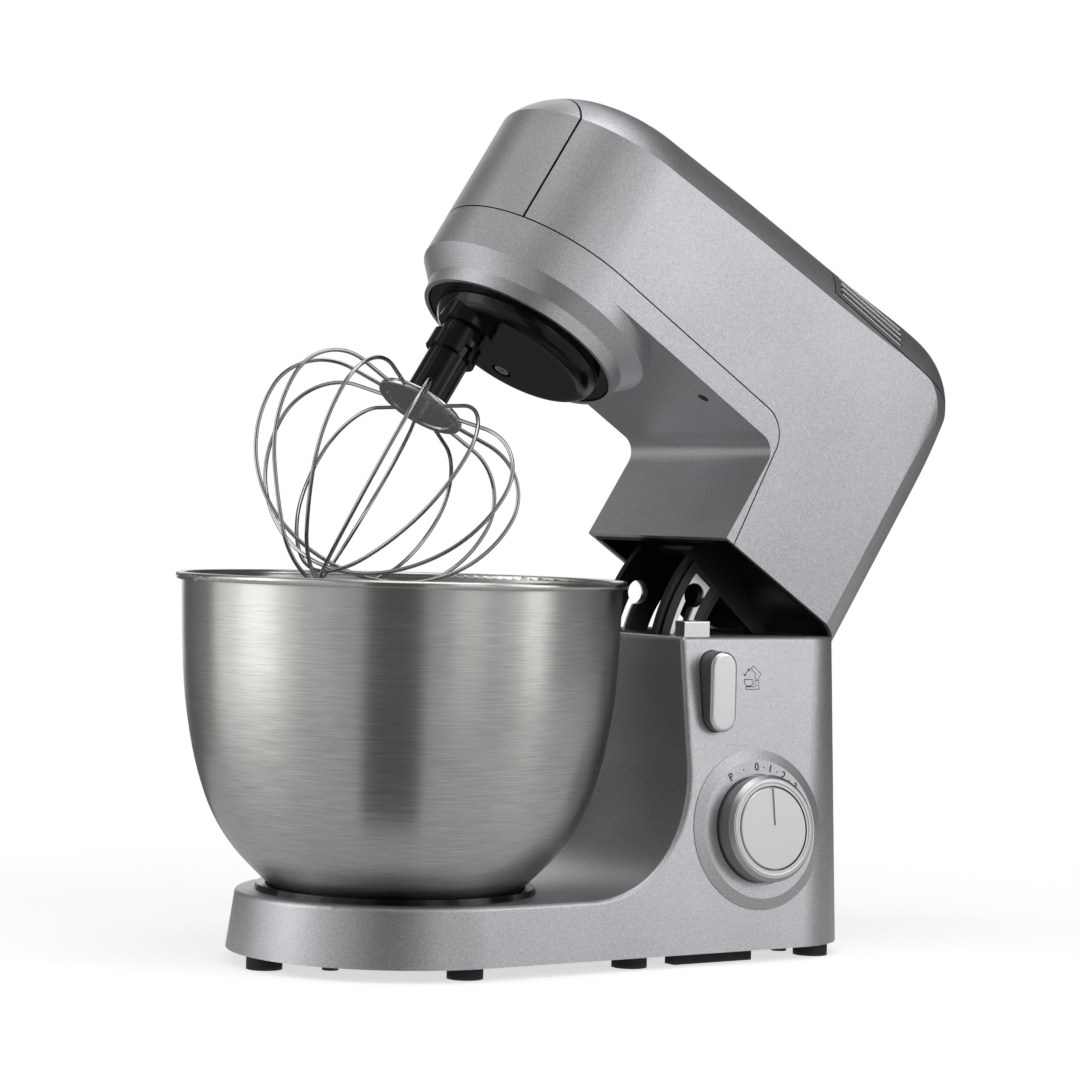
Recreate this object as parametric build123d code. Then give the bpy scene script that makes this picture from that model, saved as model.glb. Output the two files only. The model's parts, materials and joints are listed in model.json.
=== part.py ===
from build123d import *
import math
import os

# Working frame: origin on the bowl's axis at table level, +X to the rear, +Y to the far side, +Z up, mm.
# The head's pieces are drawn with the head down and then turned about the hinge to the raised pose.

# Shared by many pieces
RUNNING = 0.05
OVERCUT = 1.0
SCREW_R = 2.0
SCREW_HEAD_R = 4.0
SCREW_HEAD_H = 2.2
SCREW_CROSS = 0.9

# Hinge and lock
TILT = 33.0
HINGE_X = 227.0
HINGE_Z = 143.3
HINGE_PIN_R = 4.0
HINGE_PIN_HEAD = 2.0
WALL = 3.0
ARM_R = 91.0
ARM_ROOM = 4.3
LOCK_INSET = 14.0
LOCK_X = HINGE_X - ARM_R + LOCK_INSET
LOCK_Z = HINGE_Z - 0.8
LOCK_PIN_R = 3.0
LOCK_SLOT_GAP = 0.35
KEYHOLE_R = 6.4
LOCK_COLLAR_GAP = 0.5
LOCK_COLLAR_T = 5.0

# Base and column
SKIRT_Z = 6.3
DECK_Z = 35.5
COLUMN_TOP = 164.5
COLUMN_FRONT = HINGE_X - ARM_R - ARM_ROOM - WALL
REAR_X = 239.8
REAR_CORNER_LOW = 45.0
REAR_CORNER_TOP = 25.0
SEAT_CUP_R = 67.5
SEAT_MARGIN = 16.5
HALF_LOW = SEAT_CUP_R + SEAT_MARGIN
DRAFT = 7.9
BLEND_R = 64.0
DECK_ROUND = 2.5
SWING_R = COLUMN_TOP - HINGE_Z
PLATE_T = 3.0
RABBET = 1.5
FOOT_R = 8.9
FOOT_STEM_R = 4.0
FOOT_INSET = 14.9
FEET_X = [-2.7, 95.4, 211.6]
FRONT_FOOT_X = -74.4
PAD_X = (120.0, 169.0)
PAD_INSET = (10.0, 18.0)
BOSS_R = 5.0
BOSS_H = 28.0
BOSS_SKIN = 0.5
BASE_SCREW_L = 18.0
BASE_SCREW_INSET = 9.0
BASE_SCREW_X = [85.0, 186.0]
BASE_SCREW_ANGLE = 146.0
MID_SCREW_INSET = 28.0
TAB_SIZE = (16.0, 8.0, 7.9)
TAB_BACK = 5.3
TAB_INSET = 4.0
TAB_ROOM = 4.0
TAB_ROUND = 0.8
CAP_HALF = 42.0
CAP_REAR = HINGE_X - 4.0
CAP_FLANGE = 3.0
GLAND_R = 5.5
GLAND_BORE = 3.4
GLAND_FLANGE = 2.5
GLAND_FLANGE_T = 2.0
GLAND_Z = 17.5
GLAND_OUT = 6.0

# Controls on the near side
DIAL_X = 170.0
DIAL_Z = 66.7
KNOB_R = 27.2
KNOB_H = 13.0
KNOB_GAP = 0.6
KNOB_EDGE = 2.0
KNOB_FLOOR = 2.0
BEZEL_R = 41.0
BEZEL_RING_R = 35.2
BEZEL_T = 2.2
BEZEL_RIM = 0.4
BEZEL_BORE_GAP = 1.0
FACE_R = 21.0
FACE_GAP = 0.6
FACE_DEPTH = 3.0
POINTER_W = 2.7
POINTER_IN = 1.5
POINTER_RIM = 0.8
POINTER_DEPTH = 0.8
DIAL_SHAFT_R = 4.0
SWITCH_SIZE = (44.0, 44.0, 18.0)
SWITCH_BACK = 3.0
BOARD_SIZE = (64.0, 62.0, 1.6)
BOARD_X = HINGE_X - 37.0
BOARD_Z = 75.0
BOARD_POST_R = 2.5
BOARD_POST_H = 5.0
BOARD_POST_INSET = 5.0
BOARD_CHIPS = [(-14.0, -13.0, 20.0, 20.0, 9.4), (14.0, 8.0, 20.0, 26.0, 6.4)]
BUTTON_X = LOCK_X - 2.8
BUTTON_Z = LOCK_Z - 5.5
BUTTON_W = 16.5
BUTTON_H = 41.0
BUTTON_OUT = 9.0
BUTTON_EDGE = 2.0
BUTTON_GAP = 0.4
BUTTON_FLANGE = 2.0
BUTTON_BACK = 1.2
BUTTON_GRIP = 4.0

# Bowl and its seat
BOWL_T = 1.2
BOWL_LOW = 24.0
SEAT_CLEAR = 0.9
LUG_R = 57.0
LUG_REACH = 11.0
BOWL_FOOT_R = LUG_R - LUG_REACH
BOWL_R = 110.0
BOWL_TOP = 189.6
BOWL_WALL = [(BOWL_FOOT_R, BOWL_LOW, 35.0), (SEAT_CUP_R - SEAT_CLEAR, 40.7, 43.5), (85.1, 60.8, 55.0),
             (102.9, 105.4, 78.0), (BOWL_R, BOWL_TOP, 89.0)]
BEAD_R = 1.9
BEAD_OVER = 3.0
BEAD_RISE = 0.8
SEAT_CUP_T = 2.3
SEAT_LIP = 3.1
SEAT_R = SEAT_CUP_R + SEAT_LIP
SEAT_LIP_LEAN = 1.0
SEAT_RISE = 2.8
SEAT_FLOOR_T = 3.0
FOOT_H = 5.0
SEAT_FLOOR = BOWL_LOW - FOOT_H
FOOT_WIDTH = 6.0
LUG_ROOT = 3.0
LUG_T = 2.5
LUG_GAP = 0.5
LUG_HALF_ANGLE = 14.0
HOOK_OVER = 7.0
HOOK_ROOT = 0.5
LUG_ANGLES = (60, 180, 300)

# Head
HEAD_HALF = 61.0
NOSE_REACH = 65.0
HEAD_WALL = 2.6
HEAD_GAP = 0.5
HEAD_SPLIT = COLUMN_TOP + HEAD_GAP
LINER_T = 3.0
TRAY_H = 18.0
SEAM_GAP = 0.6
ARM_UNDER = 222.0
SEAM_Z = ARM_UNDER + 13.0
SEAM_CORNER = 16.0
SEAM_LEAN = 6.5
NECK_CORNER = 10.0
SHOULDER_R = 46.0
SHOULDER_OVER = 4.0
CROWN_CORNER = 48.0
CROWN_OVER = 16.0
REAR_EDGE_R = 22.0
ROOF = [(-75.0, 96.4), (-40.0, 100.6), (0.0, 103.9), (50.0, 107.8), (110.0, 111.5), (155.0, 114.6),
        (190.0, 116.8)]
HEAD_TOP = [(x, ARM_UNDER + rise) for x, rise in ROOF]
HEAD_REAR_TOP = (REAR_X - 17.8, HEAD_TOP[-1][1])
REAR_ROUND = 42.0
RING_GEAR_R = (44.0, 50.0)
NOSE_R = RING_GEAR_R[1] + 5.5
NOSE_LOW_R = NOSE_R - 1.0
NOSE_LOW = ARM_UNDER - 25.0
NOSE_EDGE = ARM_UNDER - 18.0
NOSE_STEP = ARM_UNDER - 9.0
CAP_X = -52.8
VENT_X = 117.0
VENT_Z = HEAD_REAR_TOP[1] - 26.8
VENT_FIRST = 2.8
VENT_PITCH = 3.6
VENT_COUNT = 4
VENT_SLOT = (4.5, 48.5, 1.8)
VENT_DEPTH = 30.0
UNDER_HOLE = (85.0, 45.5, 3.0)

# Lock arms on the head
ARM_Y = 24.0
ARM_T = 4.0
ARM_FROM = 158.0
ARM_TO = 225.0
ARM_EYE_R = 8.0
ARM_WINDOW = (26.0, ARM_R - 29.0, 172.0, 216.0)
ARM_TAB = (COLUMN_FRONT + 12.3, COLUMN_FRONT + 43.3)
ARM_SCREW_INSET = 6.0
KEY_PLATE = (ARM_R - 25.0, ARM_R - 3.0, 171.0, 222.0)
KEY_PLATE_T = 1.5
SPACER_R = 5.0
SPACER_AT = (9.0, 6.5)
SLOT_GAP = 0.6
SLOT_OFFSET = 0.5
SLOT_EDGE = 1.6

# Hinge frame in the column
CHEEK_Y = 38.0
CHEEK_T = 4.0
CHEEK_EDGE = 8.0
CHEEK_TOE = 10.0
CHEEK_NOTCH = (14.0, 34.0)
BUSH_GAP = 0.1
BUSH_WALL = 3.0

# Drive train
FRAME_Z = SEAM_Z + 3.0
FRAME_T = 5.0
FRAME_TOP = FRAME_Z + FRAME_T
FRAME_END = ARM_TAB[1] + 4.0
ORBIT = 30.0
RING_TEETH = 54
PLANET_TEETH = 14
PLANET_MODULE = 1.5
PLANET_GAP = 0.5
RING_GEAR_Z = (ARM_UNDER - 10.0, ARM_UNDER)
MAIN_TEETH = 60
PINION_TEETH = 12
MAIN_MODULE = 1.25
MAIN_GEAR_Z = (FRAME_TOP + 3.0, FRAME_TOP + 11.0)
PINION_OVER = 0.5
IDLER_X = 0.5 * MAIN_MODULE * (MAIN_TEETH + PINION_TEETH)
MOTOR_X = 120.0
PULLEY_Z = (FRAME_TOP + 17.0, FRAME_TOP + 27.0)
PULLEY_RIM = 2.5
PULLEY_RIM_T = 0.8
IDLER_PULLEY_R = 36.0
PULLEY_HOLE_R = 7.2
PULLEY_HOLE_RING = 20.9
MOTOR_PULLEY_R = 7.2
BELT_T = 2.0
BELT_GAP = 0.1
BELT_EDGE = 1.0
SHAFT_END = 3.0
MAIN_SHAFT_R = 7.0
IDLER_SHAFT_R = 5.0
MOTOR_SHAFT_R = 4.0
OUTPUT_R = 5.0
MAIN_BEARING_R = 16.0
IDLER_BEARING_R = 11.0
STATOR_R = (17.6, 31.0)
STATOR_Z = (PULLEY_Z[1] + 6.0, PULLEY_Z[1] + 44.0)
ARMATURE_GAP = 0.6
ARMATURE_END = 6.0
ARMATURE_SLOT_R = 2.4
BRACKET_R = (10.0, 34.0)
BRACKET_T = 4.0
POST_R = 4.0
POST_RING = 29.0
FAN_R = 25.0
FAN_Z = (STATOR_Z[1] + 3.0, STATOR_Z[1] + 9.0)
FAN_DISC_T = 1.4
FAN_HUB_R = 7.0
FAN_BLADE_T = 1.4
FAN_BLADE_EDGE = 0.5

# Planetary dish and whisk
DISH_R = NOSE_LOW_R - 3.1
DISH_Z = (ARM_UNDER - 24.0, ARM_UNDER - 16.0)
DISH_LOW_R = DISH_R - 5.4
DISH_LOW = ARM_UNDER - 34.0
DISH_ROUND = 9.0
DISH_WALL = 4.0
DISH_FLOOR = 5.0
HUB_R = 14.0
HUB_TOP = ARM_UNDER - 10.5
OUTPUT_BOSS_R = 15.0
OUTPUT_BOSS_Z = ARM_UNDER - 39.0
STEM_R = 11.0
STEM_TOP = OUTPUT_BOSS_Z - 0.4
STEM_LOW = STEM_TOP - 44.6
STEM_SOCKET = 10.0
COLLAR_R = 13.6
COLLAR_Z = (STEM_TOP - 15.6, STEM_TOP - 6.6)
COLLAR_NOTCH = (5.0, 3.0)
WHISK_DISC_R = 22.5
WHISK_DISC_T = 4.0
WIRE_R = 1.0
WIRE_LOOPS = 6
WIRE_STEP = 2.7
WIRE_TOP = STEM_LOW - WHISK_DISC_T / 2
WIRE_WIDE = 68.4
WIRE_TURN_R = 29.0
WIRE_WAIST = (54.4, 69.0)
WIRE_DROP = 107.0
DISH_SCREW = (11.4, 21.8)
DISH_SCREW_DEPTH = 2.6
DISH_SCREW_ROOM = 1.5

LOW = (Align.CENTER, Align.CENTER, Align.MIN)


def rod(r, z0, z1, x=0.0, y=0.0):
    return Pos(x, y, z0) * Cylinder(r, z1 - z0, align=LOW)


def tube(r_out, r_in, z0, z1, x=0.0, y=0.0):
    return rod(r_out, z0, z1, x, y) - rod(r_in, z0, z1, x, y)


def block(x0, x1, y0, y1, z0, z1):
    return Pos((x0 + x1) / 2, (y0 + y1) / 2, (z0 + z1) / 2) * Box(x1 - x0, y1 - y0, z1 - z0)


def wall_xz(outline, y0, y1):
    return extrude(Plane((0, y1, 0), (1, 0, 0), (0, -1, 0)) * outline, y1 - y0)


def cross_rod(r, x, z, y0, y1):
    return wall_xz(Pos(x, z) * Circle(r), y0, y1)


def spin(points):
    return revolve(Plane.XZ * make_face(Polyline(*points, close=True)), Axis.Z)


def polar(r, degrees, x=0.0, z=0.0):
    a = math.radians(degrees)
    return (x + r * math.cos(a), z + r * math.sin(a))


def sector(r_in, r_out, start, stop):
    step = (start + stop) / 2
    edges = [
        Line(polar(r_in, start), polar(r_out, start)),
        ThreePointArc(polar(r_out, start), polar(r_out, step), polar(r_out, stop)),
        Line(polar(r_out, stop), polar(r_in, stop)),
        ThreePointArc(polar(r_in, stop), polar(r_in, step), polar(r_in, start)),
    ]
    return make_face(edges)


def eased(start, start_way, end, end_way):
    p, t, q, u = (Vector(*v) for v in (start, start_way, end, end_way))
    v = q - p
    k = v.dot(t + u)
    room = 2 * (1 - t.dot(u))
    d = (math.sqrt(k * k + room * v.dot(v)) - k) / room
    middle = (p + t * d + q - u * d) * 0.5
    first = TangentArc(p, middle, tangent=t)
    return [first, TangentArc(middle, q, tangent=first % 1)]


def screw(x, y, z, length, up=1.0):
    head = rod(SCREW_HEAD_R, 0.0, SCREW_HEAD_H)
    shank = rod(SCREW_R, -length, 0.0)
    cross = Box(SCREW_HEAD_R, SCREW_CROSS, SCREW_HEAD_H) + Box(SCREW_CROSS, SCREW_HEAD_R, SCREW_HEAD_H)
    body = head + shank - Pos(0, 0, SCREW_HEAD_H) * cross
    turn = 0.0 if up > 0 else 180.0
    return Pos(x, y, z) * Rot(turn, 0, 0) * body


def gear_face(teeth, module, add, ded, share):
    pitch = teeth * module / 2
    half = share * math.pi * module / 2
    slope = math.tan(math.radians(20.0))
    points = []
    for i in range(teeth):
        mid = 2 * math.pi * i / teeth
        for r, side in ((pitch - ded * module, -1), (pitch + add * module, -1),
                        (pitch + add * module, 1), (pitch - ded * module, 1)):
            a = mid + side * (half - (r - pitch) * slope) / r
            points.append((r * math.cos(a), r * math.sin(a)))
    return make_face(Polyline(*points, close=True))


def gear(teeth, module, z0, z1, bore, turn=0.0):
    outline = gear_face(teeth, module, 0.75, 1.0, 0.44) - Circle(bore)
    return Pos(0, 0, z0) * Rot(0, 0, turn) * extrude(outline, z1 - z0)


def half_at(z):
    return HALF_LOW - (z - SKIRT_Z) * math.tan(math.radians(DRAFT))


def corner_at(z):
    share = (z - SKIRT_Z) / (COLUMN_TOP - SKIRT_Z)
    return REAR_CORNER_LOW + (REAR_CORNER_TOP - REAR_CORNER_LOW) * share


def plan(half, rear, corner):
    edges = [
        ThreePointArc((0, half), (-half, 0), (0, -half)),
        Line((0, -half), (rear - corner, -half)),
        RadiusArc((rear - corner, -half), (rear, corner - half), -corner),
        Line((rear, corner - half), (rear, half - corner)),
        RadiusArc((rear, half - corner), (rear - corner, half), -corner),
        Line((rear - corner, half), (0, half)),
    ]
    return make_face(edges)


def base_profile(t, low):
    deck = DECK_Z - t
    top = COLUMN_TOP - t
    front = COLUMN_FRONT + t
    rear = REAR_X - t
    nose = -HALF_LOW - 10
    swing = SWING_R - t
    rise = math.sqrt(swing ** 2 - (rear - HINGE_X) ** 2)
    lean = math.degrees(math.atan2(rise, rear - HINGE_X))
    bend_x = COLUMN_FRONT - BLEND_R
    bend_z = DECK_Z + BLEND_R
    edges = [
        Polyline((nose, deck), (nose, low), (rear, low), (rear, HINGE_Z + rise)),
        ThreePointArc((rear, HINGE_Z + rise), polar(swing, (lean + 90) / 2, HINGE_X, HINGE_Z),
                      (HINGE_X, top)),
        Polyline((HINGE_X, top), (front, top), (front, bend_z)),
        ThreePointArc((front, bend_z), polar(BLEND_R + t, -45, bend_x, bend_z), (bend_x, deck)),
        Line((bend_x, deck), (nose, deck)),
    ]
    return make_face(edges)


def base_solid(t, low):
    ends = []
    for z in (0.0, COLUMN_TOP + 10):
        ends.append(Pos(0, 0, z) * plan(half_at(z) - t, REAR_X - t, corner_at(z) - t))
    body = loft(ends, ruled=True)
    return body & wall_xz(base_profile(t, low), -HALF_LOW - 10, HALF_LOW + 10)


def soften_deck(body):
    rim = []
    for edge in body.edges():
        mid = edge.position_at(0.5)
        slope = edge.tangent_at(0.5)
        on_deck = abs(mid.Z - DECK_Z) < 0.01 and mid.X < COLUMN_FRONT - BLEND_R
        on_blend = mid.X > COLUMN_FRONT - BLEND_R and mid.X < COLUMN_FRONT + 0.01 and abs(slope.Y) < 0.5
        on_top = abs(mid.Z - COLUMN_TOP) < 0.01 and mid.X < HINGE_X - 1
        if (on_deck or on_blend or on_top) and mid.Z > SKIRT_Z + 1:
            rim.append(edge)
    return fillet(rim, DECK_ROUND)


def feet_spots():
    y = HALF_LOW - FOOT_INSET
    return [(FRONT_FOOT_X, 0.0)] + [(x, side * y) for x in FEET_X for side in (1, -1)]


def base_screw_spots():
    front_x, front_y = polar(HALF_LOW - BASE_SCREW_INSET, BASE_SCREW_ANGLE)
    mid_x, rear_x = BASE_SCREW_X
    mid_y = HALF_LOW - MID_SCREW_INSET
    rear_y = HALF_LOW - BASE_SCREW_INSET
    near = [(front_x, front_y), (mid_x, mid_y), (rear_x, rear_y)]
    return near + [(x, -y) for x, y in near]


def plate_blank():
    z = SKIRT_Z + PLATE_T
    inset = WALL - RABBET
    outline = plan(half_at(z) - inset, REAR_X - inset, corner_at(z) - inset)
    return Pos(0, 0, SKIRT_Z) * extrude(outline, PLATE_T)


def panel():
    a = math.radians(DRAFT)
    return Plane((DIAL_X, -half_at(DIAL_Z), DIAL_Z), (1, 0, 0), (0, -math.cos(a), math.sin(a)))


def wall_depth():
    return WALL * math.cos(math.radians(DRAFT))


def pill(grow):
    return Pos(BUTTON_X, BUTTON_Z) * SlotOverall(BUTTON_H + 2 * grow, BUTTON_W + 2 * grow, rotation=90)


def cap_blank(grow, z0, z1):
    return block(COLUMN_FRONT + WALL, CAP_REAR + grow, -CAP_HALF - grow, CAP_HALF + grow, z0, z1)


def make_base_housing():
    body = soften_deck(base_solid(0.0, SKIRT_Z)) - base_solid(WALL, SKIRT_Z - OVERCUT)
    floor_z = SKIRT_Z + PLATE_T
    bosses = []
    for x, y in base_screw_spots():
        top = floor_z + BOSS_H if x > COLUMN_FRONT else DECK_Z + BLEND_R
        bosses.append(rod(BOSS_R, floor_z, top, x, y))
    body = body + [b & base_solid(BOSS_SKIN, SKIRT_Z) for b in bosses]
    body = body - plate_blank()
    body = body - rod(SEAT_CUP_R, SEAT_FLOOR - SEAT_FLOOR_T, DECK_Z + OVERCUT)
    body = body - rod(SEAT_R, DECK_Z, DECK_Z + SEAT_RISE)
    body = body - cap_blank(0.0, COLUMN_TOP - WALL - OVERCUT, COLUMN_TOP + OVERCUT)
    for x, y in base_screw_spots():
        body = body - rod(SCREW_R, SKIRT_Z, SKIRT_Z + BASE_SCREW_L, x, y)
    body = body - panel() * rod(DIAL_SHAFT_R + BUTTON_GAP, -2 * WALL, WALL)
    body = body - wall_xz(pill(BUTTON_GAP), -HALF_LOW, -HALF_LOW / 2)
    gland = Plane((REAR_X - 2 * WALL, 0, GLAND_Z), (0, 1, 0), (1, 0, 0)) * rod(GLAND_R, 0.0, 3 * WALL)
    return body - gland


def make_base_plate():
    body = plate_blank()
    for x, y in feet_spots():
        body = body - rod(FOOT_STEM_R, SKIRT_Z, SKIRT_Z + PLATE_T, x, y)
    for x, y in base_screw_spots():
        body = body - rod(SCREW_R, SKIRT_Z, SKIRT_Z + PLATE_T, x, y)
    return body


def make_rubber_feet():
    feet = []
    for x, y in feet_spots():
        foot = rod(FOOT_R, 0.0, SKIRT_Z, x, y) + rod(FOOT_STEM_R, SKIRT_Z, SKIRT_Z + PLATE_T, x, y)
        feet.append(foot)
    return feet


def make_side_pads():
    x0, x1 = PAD_X
    y1, y0 = (HALF_LOW - inset for inset in PAD_INSET)
    return [block(x0, x1, y0, y1, 0.0, SKIRT_Z), block(x0, x1, -y1, -y0, 0.0, SKIRT_Z)]


def make_base_screws():
    return [screw(x, y, SKIRT_Z, BASE_SCREW_L, -1) for x, y in base_screw_spots()]


def make_bowl_seat():
    inner = SEAT_CUP_R - SEAT_CUP_T
    low = SEAT_FLOOR - SEAT_FLOOR_T
    top = DECK_Z + SEAT_RISE
    points = [(0, low), (SEAT_CUP_R, low), (SEAT_CUP_R, DECK_Z), (SEAT_R, DECK_Z),
              (SEAT_R - SEAT_LIP_LEAN, top), (inner, top), (inner, SEAT_FLOOR), (0, SEAT_FLOOR)]
    body = spin(points)
    z0 = SEAT_FLOOR + RUNNING + LUG_T + LUG_GAP
    for a in LUG_ANGLES:
        arc = sector(LUG_R - HOOK_OVER, inner + HOOK_ROOT, a - LUG_HALF_ANGLE, a + LUG_HALF_ANGLE)
        hook = extrude(arc, LUG_T)
        body = body + Pos(0, 0, z0) * hook
    return body


def bowl_curve(inset):
    points = []
    for r, z, slope in BOWL_WALL:
        side = polar(inset, slope + 90, r, z)
        points.append((side, polar(1.0, slope)))
    return [arc for near, far in zip(points, points[1:]) for arc in eased(*near, *far)]


def make_bowl():
    outer = bowl_curve(0.0)
    inner = bowl_curve(BOWL_T)
    floor = BOWL_LOW + BOWL_T
    edges = outer + inner + [
        Line((0, BOWL_LOW), outer[0] @ 0),
        Line(outer[-1] @ 1, inner[-1] @ 1),
        Polyline(inner[0] @ 0, (BOWL_FOOT_R - BOWL_T, floor), (0, floor), (0, BOWL_LOW)),
    ]
    body = revolve(Plane.XZ * make_face(edges), Axis.Z)
    return body + Pos(0, 0, BOWL_TOP + BEAD_RISE) * Torus(BOWL_R + BEAD_OVER - BEAD_R, BEAD_R)


def make_bowl_foot():
    z0 = SEAT_FLOOR + RUNNING
    body = tube(BOWL_FOOT_R, BOWL_FOOT_R - FOOT_WIDTH, z0, BOWL_LOW)
    for a in LUG_ANGLES:
        arc = sector(BOWL_FOOT_R - LUG_ROOT, LUG_R, a - LUG_HALF_ANGLE, a + LUG_HALF_ANGLE)
        body = body + Pos(0, 0, z0) * extrude(arc, LUG_T)
    return body


def arm_slots():
    y = ARM_Y + SLOT_OFFSET
    gap = ARM_T / 2 + KEY_PLATE_T + SLOT_GAP
    x0 = COLUMN_FRONT + WALL + SLOT_EDGE
    x1 = CAP_REAR - SLOT_EDGE
    top = COLUMN_TOP + OVERCUT
    return [block(x0, x1, mid - gap, mid + gap, 0, top) for mid in (-y, y)]


def make_column_cap():
    z0 = COLUMN_TOP - WALL
    body = cap_blank(0.0, z0, COLUMN_TOP) + cap_blank(CAP_FLANGE, z0 - WALL, z0)
    return body - arm_slots()


def make_hinge_frame():
    top = COLUMN_TOP - 2 * WALL
    floor_z = SKIRT_Z + PLATE_T
    x0 = COLUMN_FRONT + WALL + CHEEK_EDGE
    x1 = HINGE_X + CHEEK_EDGE
    toe = x0 + CHEEK_TOE
    high, low = (LOCK_Z - drop for drop in CHEEK_NOTCH)
    points = [(toe, floor_z), (x1, floor_z), (x1, HINGE_Z + HINGE_PIN_R), (CAP_REAR, top), (x0, top),
              (x0, high), (toe, low)]
    outline = make_face(Polyline(*points, close=True))
    body = block(toe, HINGE_X, -CHEEK_Y, CHEEK_Y, floor_z, floor_z + CHEEK_T)
    for side in (-1, 1):
        y0 = CHEEK_Y if side > 0 else -CHEEK_Y - CHEEK_T
        cheek = wall_xz(outline, y0, y0 + CHEEK_T)
        cheek = cheek - cross_rod(HINGE_PIN_R, HINGE_X, HINGE_Z, y0, y0 + CHEEK_T)
        body = body + (cheek - cross_rod(LOCK_PIN_R + RUNNING, LOCK_X, LOCK_Z, y0, y0 + CHEEK_T))
    return body


def make_hinge_pin():
    y = CHEEK_Y + CHEEK_T
    body = cross_rod(HINGE_PIN_R, HINGE_X, HINGE_Z, -y, y)
    for y0 in (y, -y - HINGE_PIN_HEAD):
        body = body + cross_rod(HINGE_PIN_R + HINGE_PIN_HEAD, HINGE_X, HINGE_Z, y0, y0 + HINGE_PIN_HEAD)
    return body


def make_hinge_bushings():
    y0 = ARM_Y + ARM_T / 2 + BUSH_GAP
    rings = []
    for a, b in ((y0, CHEEK_Y), (-CHEEK_Y, -y0)):
        ring = cross_rod(HINGE_PIN_R + BUSH_WALL, HINGE_X, HINGE_Z, a, b)
        rings.append(ring - cross_rod(HINGE_PIN_R, HINGE_X, HINGE_Z, a, b))
    return rings


def tab_block(room, top):
    long, wide, _ = TAB_SIZE
    x0 = COLUMN_FRONT + TAB_BACK
    y0 = TAB_INSET - HEAD_HALF
    return block(x0 - room, x0 + long + room, y0 - room, y0 + wide + room, COLUMN_TOP, top)


def make_locating_tab():
    body = tab_block(0.0, COLUMN_TOP + TAB_SIZE[2])
    return fillet(body.edges().group_by(Axis.Z)[-1], TAB_ROUND)


def make_dial_bezel():
    bore = KNOB_R + BEZEL_BORE_GAP
    points = [(bore, 0), (BEZEL_R, 0), (BEZEL_R, BEZEL_RIM), (BEZEL_RING_R, BEZEL_T), (bore, BEZEL_T)]
    return panel() * spin(points)


def make_dial_knob():
    low = KNOB_H - FACE_DEPTH
    body = rod(KNOB_R, KNOB_GAP, KNOB_H)
    body = chamfer(body.edges().group_by(Axis.Z)[-1], KNOB_EDGE)
    body = body - rod(FACE_R + FACE_GAP, low, KNOB_H)
    return panel() * (body - rod(DIAL_SHAFT_R, 0.0, low - KNOB_FLOOR))


def make_dial_face():
    top = KNOB_H + FACE_GAP / 2
    half = POINTER_W / 2
    body = rod(FACE_R, KNOB_H - FACE_DEPTH, top)
    body = chamfer(body.edges().group_by(Axis.Z)[-1], FACE_GAP)
    groove = block(-half, half, POINTER_IN, FACE_R - POINTER_RIM, top - POINTER_DEPTH, top + OVERCUT)
    return panel() * (body - groove)


def make_dial_shaft():
    low = SWITCH_BACK + RUNNING - wall_depth() - SWITCH_SIZE[2]
    return panel() * rod(DIAL_SHAFT_R, low, KNOB_H - FACE_DEPTH - KNOB_FLOOR)


def make_speed_switch():
    w, h, d = SWITCH_SIZE
    top = -wall_depth()
    body = block(-w / 2, w / 2, -h / 2, h / 2, top - d, top)
    return panel() * (body - rod(DIAL_SHAFT_R + RUNNING, top - d + SWITCH_BACK, top))


def make_control_board():
    long, high, thick = BOARD_SIZE
    y0 = CHEEK_Y + CHEEK_T
    y1 = y0 + BOARD_POST_H
    body = Pos(BOARD_X, y1 + thick / 2, BOARD_Z) * Box(long, thick, high)
    for x, z, w, h, tall in BOARD_CHIPS:
        body = body + Pos(BOARD_X + x, y1 + (thick + tall) / 2, BOARD_Z + z) * Box(w, thick + tall, h)
    dx = long / 2 - BOARD_POST_INSET
    dz = high / 2 - BOARD_POST_INSET
    for x, z in ((dx, dz), (-dx, dz), (dx, -dz), (-dx, -dz)):
        body = body + cross_rod(BOARD_POST_R, BOARD_X + x, BOARD_Z + z, y0, y1)
    return body


def make_cord_gland():
    place = Plane((REAR_X - 2 * WALL, 0, GLAND_Z), (0, 1, 0), (1, 0, 0))
    flange = GLAND_R + GLAND_FLANGE
    body = rod(GLAND_R, 0.0, 2 * WALL + GLAND_OUT) + rod(flange, 2 * WALL, 2 * WALL + GLAND_FLANGE_T)
    body = body + rod(flange, 0.0, WALL)
    return place * (body - rod(GLAND_BORE, 0.0, 2 * WALL + GLAND_OUT))


def button_back():
    return -half_at(BUTTON_Z + BUTTON_H / 2 + BUTTON_FLANGE) + WALL + BUTTON_BACK


def make_release_button():
    back = button_back()
    body = wall_xz(pill(0.0), -half_at(BUTTON_Z) - BUTTON_OUT, back)
    body = fillet(body.faces().sort_by(Axis.Y)[0].edges(), BUTTON_EDGE)
    body = body + wall_xz(pill(BUTTON_FLANGE), back, back + BUTTON_FLANGE)
    return body - cross_rod(LOCK_PIN_R, LOCK_X, LOCK_Z, back - BUTTON_GRIP, back + BUTTON_FLANGE)


def make_lock_pin():
    body = cross_rod(LOCK_PIN_R, LOCK_X, LOCK_Z, button_back() - BUTTON_GRIP, CHEEK_Y + CHEEK_T + OVERCUT)
    inner = -ARM_Y + ARM_T / 2 + LOCK_COLLAR_GAP
    return body + cross_rod(KEYHOLE_R - LOCK_COLLAR_GAP, LOCK_X, LOCK_Z, inner, inner + LOCK_COLLAR_T)


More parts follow.
